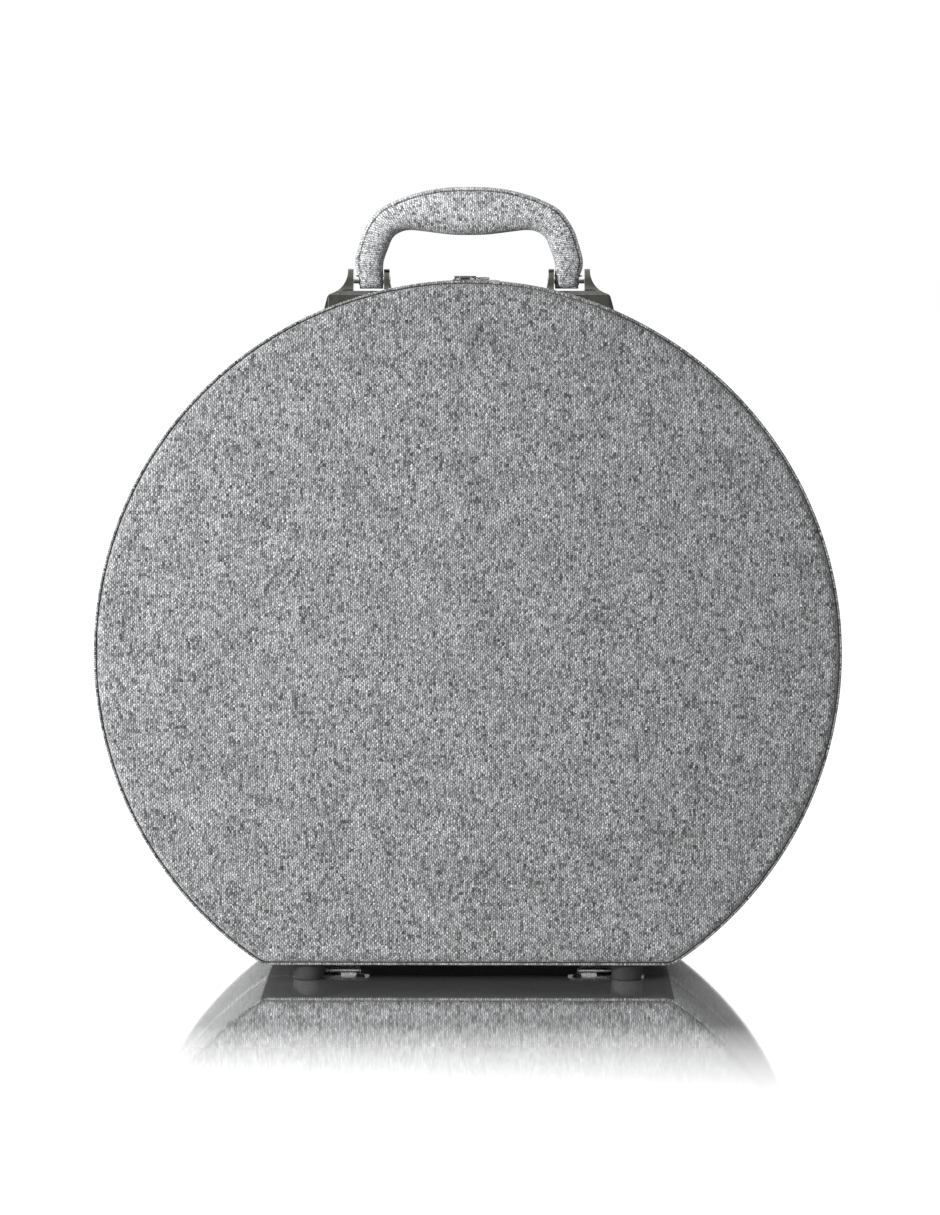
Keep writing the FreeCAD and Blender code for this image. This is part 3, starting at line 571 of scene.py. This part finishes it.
# groove sets how dark the painted shade at a seam's bottom gets; on the grip it is darkest
WOVEN = woven("woven_melange", 1.14, (0.085, 0.160, 0.200, 0.250), (0.025, 0.070, 0.120, 0.175))
GRIP_CLOTH = woven("woven_grip", 1.14, (0.17, 0.31, 0.38, 0.46), (0.08, 0.18, 0.245, 0.32), groove=0.04)
RIM_CLOTH = woven("woven_rim", 0.95, (0.12, 0.19, 0.245, 0.33), (0.07, 0.12, 0.18, 0.26), relief=0.00018)
LINING = twill("lining_twill", (0.085, 0.090, 0.100))
THREAD = thread_finish("sewing_thread", (0.62, 0.62, 0.61))
# The second colour of each plated metal is its painted edge highlight and wear
GUNMETAL = plated("gunmetal", (0.072, 0.072, 0.066), (0.60, 0.60, 0.58), 0.1)
BRIGHT = plated("bright_steel", (0.62, 0.62, 0.61), (0.85, 0.85, 0.84), 0.2)
SPRING = brushed("spring_steel", (0.56, 0.56, 0.55), 0.32)
GUARD = grained("black_guard", (0.014, 0.014, 0.015), 0.0011, 0.00012, 0.75, specular=0.15)
RUBBER = grained("black_rubber", (0.012, 0.012, 0.012), 0.0008, 0.00008, 0.8, specular=0.15)
BUSH = grained("bush_plastic", (0.030, 0.030, 0.030), 0.0006, 0.00003, 0.38)
CORE = grained("core_plastic", (0.045, 0.045, 0.05), 0.0015, 0.00005, 0.5)
BOARD = pressed_fibre("fibre_board")
NODE_FINISH = {
    "woven_fabric": WOVEN, "rim_fabric": RIM_CLOTH, "lining": LINING, "board": BOARD, "foam": BOARD,
    "core": CORE, "gunmetal": GUNMETAL, "bright_steel": BRIGHT, "spring_steel": SPRING,
    "black_guard": GUARD, "black_rubber": RUBBER, "bush": BUSH,
}


# ---------------------------------------------------------------- covers of the two shells

# The panel's rolled edge, its hem in the seam, and where its flat face ends
ROLL = 4.4
ROLL_INSET = 1.45
ROLL_CENTRE = 4.75
ROLL_SHIFT = 0.15
HEM_DEPTH = 5.2
FACE_INSET = 9.0
FACE_DEPTH = 0.35
# The band's edge, and the welt folded over a cord in front of it
BAND_FLAT = 6.6
BAND_ROWS = 16
WELT_POINTS = 14
WELT_RADIUS = 0.65
# The lining: hems at the rim and at the panel, and rows between them
RIM_HEM = 1.6
PANEL_HEM = 3.2
LINING_ROWS = 10
STITCH_DEPTH = 2.9
STITCH_PITCH = 2.9
STITCH_LENGTH = 2.1
STITCH_RADIUS = 0.26
STITCH_INSET = -0.36


def clamp(value):
    return min(1.0, max(0.0, value))


def waviness(length, y):
    """How far the cloth waves over the board."""
    return 0.07 * math.sin(length / 17.0 + y / 23.0) + 0.05 * math.sin(length / 7.3 - y / 11.0)


def panel_cloth(body, inward, face_y):
    """A shell's flat face: cloth over a board, a rolled edge, and the hem tucked into the seam."""

    def at(offset):
        return face_y + inward * offset

    def rolled(radius, degrees):
        angle = math.radians(degrees)
        depth = ROLL_CENTRE - radius * math.cos(angle) - ROLL_SHIFT
        return ROLL_INSET + ROLL - radius * math.sin(angle), at(depth)

    # The third numbers paint shade: growing as the roll turns into the seam, full at the hem, and half on the
    # cloth's back
    edge = [(FACE_INSET, at(FACE_DEPTH), 0.0), (7.4, at(0.36), 0.0)]
    for i in range(9):
        edge.append((*rolled(ROLL, 90 * i / 8), max(0.0, (i - 6) / 2) * 0.6))
    edge.append((ROLL_INSET + 0.05, at(HEM_DEPTH), 1.0))
    back = [(ROLL_INSET + 1.15, at(HEM_DEPTH), 1.0)]
    for i in range(6):
        back.append((*rolled(ROLL - FABRIC, 90 - 90 * i / 5), 0.5))
    back.append((FACE_INSET, at(FACE_DEPTH + FABRIC), 0.0))
    bm = bmesh.new()
    add_panel(bm, inward, edge, back, 0.3)
    name = "lid_front_cover" if body == "lid" else "case_back_cover"
    panel = finish_mesh(name + "_cloth", bm, body, WOVEN)
    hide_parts(name)


def band_cloth(body, inward, face_y, rim_y):
    """The band round a shell, and the welt that meets the panel in a groove."""

    def at(offset):
        return face_y + inward * offset

    start, end = at(BAND_FLAT), rim_y - inward * WEB
    rows = [start + (end - start) * i / BAND_ROWS for i in range(1, BAND_ROWS + 1)]
    # The third numbers paint shade: full where the band's edge turns into the groove, fading out onto its face,
    # and half on its back
    band = [(FABRIC, at(3.7), 1.0), (0.6, at(3.62), 0.8), (0.2, at(3.66), 0.5), (0.03, at(3.95), 0.2),
            (-0.02, at(4.6), 0.0), (0.0, start, 0.0)]
    band += [(0.0, y, 0.0) for y in rows] + [(FABRIC, y, 0.5) for y in reversed(rows)]
    welt = []
    for i in range(WELT_POINTS):
        angle = math.tau * i / WELT_POINTS
        # Painted shade on the welt's side that faces into the groove
        deep = max(0.0, math.cos(angle - math.radians(20))) ** 2
        y = at(2.95) + inward * 0.66 * math.sin(angle)
        welt.append((0.63 + WELT_RADIUS * math.cos(angle), y, 0.7 * deep))

    def ripple(length, y, inset):
        """Waves on the outer face only, fading out towards the welt and the rim binding."""
        if inset >= 0.6:
            return 0.0
        from_welt = clamp((y - at(6.0)) * inward / 12.0)
        from_rim = clamp((rim_y - inward * 8 - y) * inward / 8.0)
        return waviness(length, y) * (from_welt * from_rim)

    bm = bmesh.new()
    add_sweep(bm, BAND, band, False, ripple)
    add_sweep(bm, WHOLE, welt, True)
    hoop = finish_mesh(body + "_hoop_cover_cloth", bm, body, WOVEN)
    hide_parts(body + "_hoop_cover")
    return hoop


def binding_cloth(body, inward, rim_y):
    """The rim binding: a web over the board's edge, and a rounded lip outside with its row of stitches."""

    def at(offset):
        return rim_y - inward * offset

    # The third numbers paint shade on the web, in the dip at the stitches and under the lip
    web = [(0.25, at(0.0), 0.3), (LINING_INSET - 0.5, at(0.0), 0.0), (LINING_INSET - 0.15, at(0.15), 0.0),
           (LINING_INSET, at(0.5), 0.0), (LINING_INSET, at(WEB), 0.6), (0.25, at(WEB), 0.6)]
    lip = [(0.24, at(0.02), 0.2), (-0.1, at(0.03), 0.0), (-0.32, at(0.22), 0.0), (-0.40, at(0.7), 0.0),
           (-0.44, at(1.6), 0.0), (-0.42, at(2.4), 0.0), (-0.30, at(STITCH_DEPTH), 0.35), (-0.42, at(3.4), 0.0),
           (-0.42, at(4.2), 0.0), (-0.34, at(4.75), 0.0), (-0.12, at(4.98), 0.2), (0.1, at(BINDING), 0.9),
           (0.1, at(WEB + 0.02), 0.9), (0.24, at(WEB), 0.9)]
    bm = bmesh.new()
    add_sweep(bm, WHOLE, web, True)
    add_sweep(bm, BAND, lip, False)
    binding = finish_mesh(body + "_rim_binding_cloth", bm, body, RIM_CLOTH)
    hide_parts(body + "_rim_binding")
    stitch_line(body, at(STITCH_DEPTH))


def lining_cloth(body, inward, face_y, rim_y):
    """The lining inside a shell's hoop, with its hems, and the lining of its panel."""
    rim_inner = rim_y - inward * WEB
    panel_end = face_y + inward * HEM_DEPTH

    def at(offset):
        return panel_end + inward * offset

    rim_hem = rim_inner - inward * RIM_HEM
    # The third numbers paint shade: full where the lining turns in at the panel and on its back, part way at
    # the rim's edge
    inner = [(BOARD_INSET, at(0.9), 1.0), (BOARD_INSET, rim_inner, 0.4), (LINING_INSET, rim_inner, 0.4),
             (LINING_INSET + 0.03, rim_hem, 0.0)]
    for i in range(1, LINING_ROWS + 1):
        inner.append((LINING_INSET, rim_hem + (at(PANEL_HEM) - rim_hem) * i / LINING_ROWS, 0.0))
    inner += [(LINING_INSET + 0.12, at(2.3), 0.1), (LINING_INSET + 0.02, at(1.5), 0.5),
              (LINING_INSET - 0.3, at(1.0), 1.0)]
    bm = bmesh.new()
    add_sweep(bm, WHOLE, inner, True)
    lining_hoop = finish_mesh(body + "_lining_hoop_cloth", bm, body, LINING)
    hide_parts(body + "_lining_hoop")
    face = at(0.85)
    # The third numbers paint shade where the panel's lining turns into the corner and on its back
    edge = [(13.0, face, 0.0), (9.5, face - inward * 0.02, 0.0), (7.4, face - inward * 0.1, 0.0),
            (6.2, face - inward * 0.22, 0.0), (5.4, face - inward * 0.42, 0.3),
            (BOARD_INSET + 0.05, face - inward * 0.8, 1.0)]
    back = [(BOARD_INSET + 0.05, panel_end, 1.0), (13.0, panel_end, 0.0)]
    bm = bmesh.new()
    add_panel(bm, -inward, edge, back, 0.0)
    lining_panel = finish_mesh(body + "_lining_panel_cloth", bm, body, LINING)
    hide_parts(body + "_lining_panel")
    return lining_hoop


def stitch_line(body, y):
    """The row of stitches that holds a rim binding, round the band."""
    bm = bmesh.new()
    total = BAND[-1][4] - BAND[0][4]
    count = int(total / STITCH_PITCH)
    for i in range(count):
        s = BAND[0][4] + total * (i + 0.5) / count
        x, z, nx, nz = [float(np.interp(s, BAND[:, 4], BAND[:, k])) for k in range(4)]
        normal = Vector((nx, 0, nz))
        middle = Vector((x, y, z)) - normal * STITCH_INSET
        add_stitch(bm, middle, Vector((-nz, 0, nx)), normal, STITCH_LENGTH, STITCH_RADIUS)
    return finish_mesh(body + "_rim_stitches", bm, body, THREAD, sharp=80)


def add_stitch(bm, middle, along, normal, length, radius):
    """One stitch: a short thread that rises from its hole and goes down again."""
    side = along.cross(normal)
    rings = []
    for share in (-1.0, -0.6, 0.0, 0.6, 1.0):
        sink = radius * 1.1 * share ** 2
        size = radius * (1 - 0.55 * abs(share) ** 3)
        core = middle + along * (length / 2 * share) - normal * sink
        rings.append([bm.verts.new(core + (side * math.cos(a) + normal * math.sin(a)) * size)
                      for a in (math.tau * k / 6 for k in range(6))])
    for a, b in zip(rings, rings[1:]):
        for k in range(6):
            bm.faces.new((a[k], a[(k + 1) % 6], b[(k + 1) % 6], b[k]))
    bm.faces.new(rings[0])
    bm.faces.new(rings[-1])


def shell_cloth(body, inward, face_y, rim_y):
    """Everything of cloth on one shell; inward is the sign of Y from its face to its inside."""
    panel_cloth(body, inward, face_y)
    band = band_cloth(body, inward, face_y, rim_y)
    binding_cloth(body, inward, rim_y)
    return band, lining_cloth(body, inward, face_y, rim_y)


shell_cloth("lid", 1, FRONT_Y, LID_RIM_Y)
CASE_BAND, CASE_LINING = shell_cloth("case", -1, BACK_Y, CASE_RIM_Y)

WINDOW_Z = (300, 420)


def windows(node, radius, gap, outer_only):
    """Cutters round a fitting on the right and its twin on the left; all corners are round, or only the outer
    ones."""
    low, high = box_mm(node)
    out = []
    for sign in (-1, 1):
        xs = sorted((sign * (low.x - gap), sign * (high.x + gap)))
        sides = (sign,) if outer_only else (-1, 1)
        plan = rounded_plan(xs, (low.y - gap, high.y + gap), radius, sides)
        out.append(prism("window", plan, *WINDOW_Z))
    return out


cut(CASE_BAND, windows("handle_bracket_right", 4.5, 0.12, True))
cut(CASE_LINING, windows("bracket_backing_right", 0.6, 0.15, False))


# ---------------------------------------------------------------- handle

PIN_LOW, PIN_HIGH = box_mm("pivot_pin_right")
PIVOT_Z = PIN_LOW.z / 2 + PIN_HIGH.z / 2
LEG_END = 5.2
LEG_END_ROWS = 8
BOW_ROWS = 66
BORE_RADIUS = 3.22
BORE_POINTS = 48
BORE_X = (42.0, 66.0)
# The section's exponent and usual half sizes, and its two joining seams close to the outer edge
ROUNDNESS = 2.6
SECTION_HALF_WIDTH = 13.6
SECTION_HALF_DEPTH = 11.0
SECTION_POINTS = 64
SEAM_INSET = 2.3
SEAM_TURN = math.acos(0.86 ** (ROUNDNESS / 2))
SEAM_REACH = 1.3
SEAM_POINTS = 15
# Half of the bow from the pin up: inside X and Z, outside X and Z, depth
BOW = np.array([
    (47.3, 376.7, 60.5, 376.7, 10.4), (47.2, 385.6, 63.0, 385.2, 14.2), (44.2, 393.9, 61.4, 394.3, 17.0),
    (41.5, 399.6, 57.6, 405.1, 18.6), (37.1, 402.5, 50.0, 415.2, 20.0), (31.9, 403.4, 38.8, 421.2, 20.9),
    (25.0, 402.8, 28.2, 424.7, 21.5), (17.1, 401.7, 18.4, 426.8, 21.9), (8.7, 400.8, 9.1, 427.7, 22.0),
    (0.0, 400.6, 0.0, 427.9, 22.0),
])


def smooth_rows(rows, steps):
    """A smooth line through rows of numbers, at even steps of its own length."""
    middle = (rows[:, 0:2] + rows[:, 2:4]) / 2
    knots = np.concatenate([[0], np.cumsum(np.hypot(*np.diff(middle, axis=0).T))])
    slopes = np.gradient(rows, knots, axis=0)
    out = []
    for s in np.linspace(0, knots[-1], steps):
        i = min(np.searchsorted(knots, s, side="right") - 1, len(knots) - 2)
        width = knots[i + 1] - knots[i]
        t = (s - knots[i]) / width
        from_row, to_row = 2 * t ** 3 - 3 * t ** 2 + 1, -2 * t ** 3 + 3 * t ** 2
        from_slope, to_slope = t ** 3 - 2 * t ** 2 + t, t ** 3 - t ** 2
        out.append(from_row * rows[i] + from_slope * width * slopes[i]
                   + to_row * rows[i + 1] + to_slope * width * slopes[i + 1])
    return np.array(out)


def bow_rows():
    """Rows of the whole bow, from one leg's end to the other's: inside X and Z, outside X and Z, depth,
    and 1 on the rounded ends."""
    half = smooth_rows(BOW, BOW_ROWS)
    mirror = half[::-1][1:] * np.array([-1, 1, -1, 1, 1])
    leg = half[0]
    ends = []
    for k in range(1, LEG_END_ROWS + 1):
        angle = math.radians(86 * k / LEG_END_ROWS)
        taper = 0.2 * k / LEG_END_ROWS
        z = PIVOT_Z - LEG_END * math.sin(angle)
        ends.append((leg[0] + taper, z, leg[2] - taper, z, 2 * LEG_END * math.cos(angle), 1.0))
    left = [(-a[0], a[1], -a[2], a[3], a[4], a[5]) for a in ends]
    return ends[::-1] + [(*row, 0.0) for row in half] + [(*row, 0.0) for row in mirror] + left


def section(turn):
    """A point of the handle's rounded section with half sizes of 1, this turn round from its outer edge."""
    c, s = math.cos(turn), math.sin(turn)
    return math.copysign(abs(c) ** (2 / ROUNDNESS), c), math.copysign(abs(s) ** (2 / ROUNDNESS), s)


def ring_turns():
    """Turns round the handle's section, closer together at the two seams, their places, and the girth."""
    fine = np.linspace(0, math.tau, 4001)
    u, v = np.array([section(turn) for turn in fine]).T
    steps = np.hypot(np.diff(u * SECTION_HALF_WIDTH), np.diff(v * SECTION_HALF_DEPTH))
    length = np.concatenate([[0], np.cumsum(steps)])
    seams = [np.interp(turn, fine, length) for turn in (SEAM_TURN, math.tau - SEAM_TURN)]
    places = list(np.linspace(0, length[-1], SECTION_POINTS + 1)[:-1])
    places = [p for p in places if min(abs(p - q) for q in seams) > SEAM_REACH + 0.2]
    for q in seams:
        places += list(q + np.linspace(-SEAM_REACH, SEAM_REACH, SEAM_POINTS))
    places = np.sort(places)
    return np.interp(places, length, fine), places, length[-1]


def swell(piece, cap, pressure=4.0, frames=20):
    """Lets the foam push the sewn cover out: a pressure cloth run, kept as plain vertices that move no further
    than cap, in metres."""
    held = [row.value for row in piece.data.attributes["held"].data]
    piece.data.attributes.remove(piece.data.attributes["held"])
    group = piece.vertex_groups.new(name="held")
    for index, weight in enumerate(held):
        group.add([index], weight, "REPLACE")
    cloth = piece.modifiers.new("cloth", "CLOTH")
    cloth.settings.vertex_group_mass = "held"
    cloth.settings.use_pressure = True
    cloth.settings.uniform_pressure_force = pressure
    cloth.settings.effector_weights.gravity = 0.0
    cloth.collision_settings.use_collision = False
    cloth.point_cache.frame_start = 1
    cloth.point_cache.frame_end = frames
    for number in range(1, frames + 1):
        bpy.context.scene.frame_set(number)
    shaped = piece.evaluated_get(bpy.context.evaluated_depsgraph_get())
    moves = [after.co - before.co for before, after in zip(piece.data.vertices, shaped.data.vertices)]
    piece.modifiers.remove(cloth)
    piece.vertex_groups.remove(group)
    for vertex, move in zip(piece.data.vertices, moves):
        vertex.co += move * min(1.0, cap / max(move.length, 1e-9))
    bpy.context.scene.frame_set(1)


def near(away, width):
    """1 on a line, fading to nothing over this width."""
    return math.exp(-(away / width) ** 2)


def bore(sign):
    """A cutter for the pin's bore through one leg."""
    turns = [math.tau * i / BORE_POINTS for i in range(BORE_POINTS)]
    circle = [(PIVOT_Z + BORE_RADIUS * math.sin(turn), BORE_RADIUS * math.cos(turn)) for turn in turns]
    cutter = prism("bore", circle, *BORE_X)
    for vertex in cutter.data.vertices:
        z, y, x = vertex.co
        vertex.co = (sign * x, y, z)
    bm = bmesh.new()
    bm.from_mesh(cutter.data)
    bmesh.ops.recalc_face_normals(bm, faces=bm.faces)
    bm.to_mesh(cutter.data)
    bm.free()
    return cutter


def handle_cover():
    """The stretched cover of the grip, with a joining seam near its outer edge on both faces."""
    turns, places, girth = ring_turns()
    bm = bmesh.new()
    uv, seam = cloth_layers(bm)
    held = bm.verts.layers.float.new("held")
    grid, along, previous = [], [], None
    for ix, iz, ox, oz, depth, end in bow_rows():
        middle = Vector(((ix + ox) / 2, 0, (iz + oz) / 2))
        along.append(along[-1] + (middle - previous).length if along else 0.0)
        previous = middle
        across = Vector((ox - ix, 0, oz - iz))
        half_width, half_depth = across.length / 2, depth / 2
        across.normalize()
        # The seam keeps its distance from the outer edge where the section is wider or narrower than usual
        sewn_turn = math.acos(max(0.3, 1 - SEAM_INSET / half_width) ** (ROUNDNESS / 2))
        above_pin = min(iz, oz) - PIVOT_Z
        sewn = 0.0 if end else clamp(above_pin / 5.0)
        free = 0.0 if end else clamp((above_pin - 6.0) / 14.0)
        ring = []
        for turn in turns:
            fold = math.tau - turn if turn > math.pi else turn
            moved = np.interp(fold, [0.0, SEAM_TURN, math.pi / 2, math.pi],
                              [0.0, sewn_turn, math.pi / 2, math.pi])
            moved = math.tau - moved if turn > math.pi else moved
            u, v = section(moved)
            point = middle + across * (u * half_width) + Vector((0, v * half_depth, 0))
            out_way = (across * (u / half_width) + Vector((0, v / half_depth, 0))).normalized()
            away = abs(fold - SEAM_TURN) * SECTION_HALF_DEPTH
            wave = math.sin(along[-1] / 1.9 + 2.0 * math.sin(moved))
            # groove pulls the cloth into the seam and also paints shade there
            groove = near(away, 0.72) * sewn
            pillow = 0.16 * near(away - 1.1, 0.7) * sewn
            pucker = 0.05 * wave * near(away, 2.6) * sewn
            vert = bm.verts.new(point - out_way * (0.45 * groove + 0.4 * free - pillow - pucker))
            vert[seam] = groove
            vert[held] = max(1.0 - free, groove)
            ring.append(vert)
        grid.append(ring)
    count = len(turns)
    for i, (a, b) in enumerate(zip(grid, grid[1:])):
        for j in range(count):
            k = (j + 1) % count
            face = bm.faces.new((a[j], a[k], b[k], b[j]))
            p, q = places[j], places[k] if k else girth + places[0]
            corners = ((along[i], p), (along[i], q), (along[i + 1], q), (along[i + 1], p))
            for loop, corner in zip(face.loops, corners):
                loop[uv].uv = corner
    bm.faces.new(grid[0])
    bm.faces.new(grid[-1])
    piece = finish_mesh("handle_cover_cloth", bm, "handle", GRIP_CLOTH, sharp=60)
    swell(piece, 0.0007)
    cut(piece, [bore(-1), bore(1)])
    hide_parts("handle_cover", "handle_padding", "handle_welt")


handle_cover()


# ---------------------------------------------------------------- carried-over nodes

SLOTS = {row["node"]: row["material_slot"] for row in frame["record"]["subparts"]}
BEVELLED = {
    "handle_bracket_left": 0.35, "handle_bracket_right": 0.35, "latch_base": 0.12, "hasp_plate": 0.15,
    "hasp": 0.15, "latch_slide": 0.1, "hinge_leaf_case_left": 0.25, "hinge_leaf_case_right": 0.25,
    "hinge_leaf_lid_left": 0.25, "hinge_leaf_lid_right": 0.25,
}
for node, holder in frame["nodes"].items():
    holder.data.materials.clear()
    holder.data.materials.append(NODE_FINISH[SLOTS[node]])
    if node in BEVELLED:
        bevel = holder.modifiers.new("soft_edges", "BEVEL")
        bevel.width = BEVELLED[node] * MM
        bevel.segments = 2
        bevel.limit_method = "ANGLE"
        bevel.angle_limit = math.radians(32)


# ---------------------------------------------------------------- studio, in metres and degrees

# The floor's polish, and the distances from the object's middle between which it fades
POLISH = 0.97
POLISHED_Y = (0.21, 0.40)
POLISHED_X = (0.35, 0.7)
FLOOR_INNER = 2.0
FLOOR_OUTER = 30.0
KEY_PLACE = (-1.15, -1.0, 0.62)
KEY_AIM = (-0.22, -0.09, 0.27)
KEY_SIZE = 0.3
KEY_POWER = 6.4
KEY_SPREAD = 56.0
# The soft light all round: at the sides, what front and back add, what straight above adds, and the share of
# it that matt surfaces lose
SKY_SIDE = 0.55
SKY_FACING = 0.45
SKY_ABOVE = 1.5
SKY_MATT_LOSS = 0.28
CAMERA_PLACE = (0.021, -2.19, 0.376)
CAMERA_YAW = 0.536
CAMERA_PITCH = 4.729
LENS = 117.1
SENSOR = 36.0


def add_object(name, data):
    thing = bpy.data.objects.new(name, data)
    bpy.context.scene.collection.objects.link(thing)
    return thing


def aim(thing, place, way):
    """Puts a lamp or camera here, looking this way."""
    thing.location = place
    thing.rotation_mode = "QUATERNION"
    thing.rotation_quaternion = Vector(way).to_track_quat("-Z", "Y")


def studio_floor():
    """A pale floor with a mirror-like polish beside the object."""
    f = Finish("pale_floor", Specular_IOR_Level=0.1)
    x, y, _ = f.split(f.place())
    in_depth = f.range(f.math("ABSOLUTE", y), *POLISHED_Y, POLISH, 0.0)
    in_width = f.range(f.math("ABSOLUTE", x), *POLISHED_X, 1.0, 0.0)
    f.put(f.shader.inputs["Metallic"], f.math("MULTIPLY", in_depth, in_width))
    f.colour(f.ramp(f.noise(f.place(), 3.0, 2.0), [(0.3, 0.93), (0.7, 0.95)]))
    f.rough(0.05)
    bm = bmesh.new()
    spans = [(-FLOOR_OUTER, -FLOOR_INNER), (-FLOOR_INNER, FLOOR_INNER), (FLOOR_INNER, FLOOR_OUTER)]
    for across in spans:
        for along in spans:
            corners = ((0, 0), (1, 0), (1, 1), (0, 1))
            bm.faces.new([bm.verts.new((across[i], along[j], 0.0)) for i, j in corners])
    bmesh.ops.remove_doubles(bm, verts=bm.verts, dist=1e-4)
    mesh = bpy.data.meshes.new("studio_floor")
    bm.to_mesh(mesh)
    bm.free()
    mesh.materials.append(f.material)
    floor = add_object("studio_floor", mesh)


def key_light():
    """One lamp from the left, on the front of the drum."""
    data = bpy.data.lights.new("key_left", "AREA")
    data.shape = "RECTANGLE"
    data.size = data.size_y = KEY_SIZE
    data.energy = KEY_POWER
    data.spread = math.radians(KEY_SPREAD)
    aim(add_object("key_left", data), KEY_PLACE, Vector(KEY_AIM) - Vector(KEY_PLACE))


def soft_light():
    """White to the camera; as a light, brighter in front, behind and above than at the sides."""
    world = bpy.data.worlds.new("studio")
    world.use_nodes = True
    nodes, links = world.node_tree.nodes, world.node_tree.links

    def sum_of(operation, first, second, third=0.0):
        node = nodes.new("ShaderNodeMath")
        node.operation = operation
        for socket, value in zip(node.inputs, (first, second, third)):
            if isinstance(value, float):
                socket.default_value = value
            else:
                links.new(socket, value)
        return node.outputs[0]

    split = nodes.new("ShaderNodeSeparateXYZ")
    links.new(split.inputs[0], nodes.new("ShaderNodeTexCoord").outputs["Generated"])
    facing = sum_of("POWER", sum_of("ABSOLUTE", split.outputs[1], 0.0), 4.0)
    level = sum_of("MULTIPLY_ADD", facing, SKY_FACING, SKY_SIDE)
    light = sum_of("MULTIPLY_ADD", sum_of("MAXIMUM", split.outputs[2], 0.0), SKY_ABOVE, level)
    ray = nodes.new("ShaderNodeLightPath").outputs
    dimmed = sum_of("MULTIPLY", light, sum_of("MULTIPLY_ADD", ray["Is Diffuse Ray"], -SKY_MATT_LOSS, 1.0))
    background = nodes["Background"]
    background.inputs[0].default_value = (1.0, 1.0, 1.0, 1.0)
    links.new(background.inputs[1], sum_of("MAXIMUM", ray["Is Camera Ray"], dimmed))
    bpy.context.scene.world = world


def studio_camera():
    data = bpy.data.cameras.new("camera")
    data.lens = LENS
    data.sensor_width = SENSOR
    camera = add_object("camera", data)
    yaw, pitch = math.radians(CAMERA_YAW), math.radians(CAMERA_PITCH)
    aim(camera, CAMERA_PLACE, (-math.sin(yaw), math.cos(yaw), -math.tan(pitch)))
    bpy.context.scene.camera = camera


studio_floor()
key_light()
soft_light()
studio_camera()
bpy.context.scene.view_settings.view_transform = "Standard"
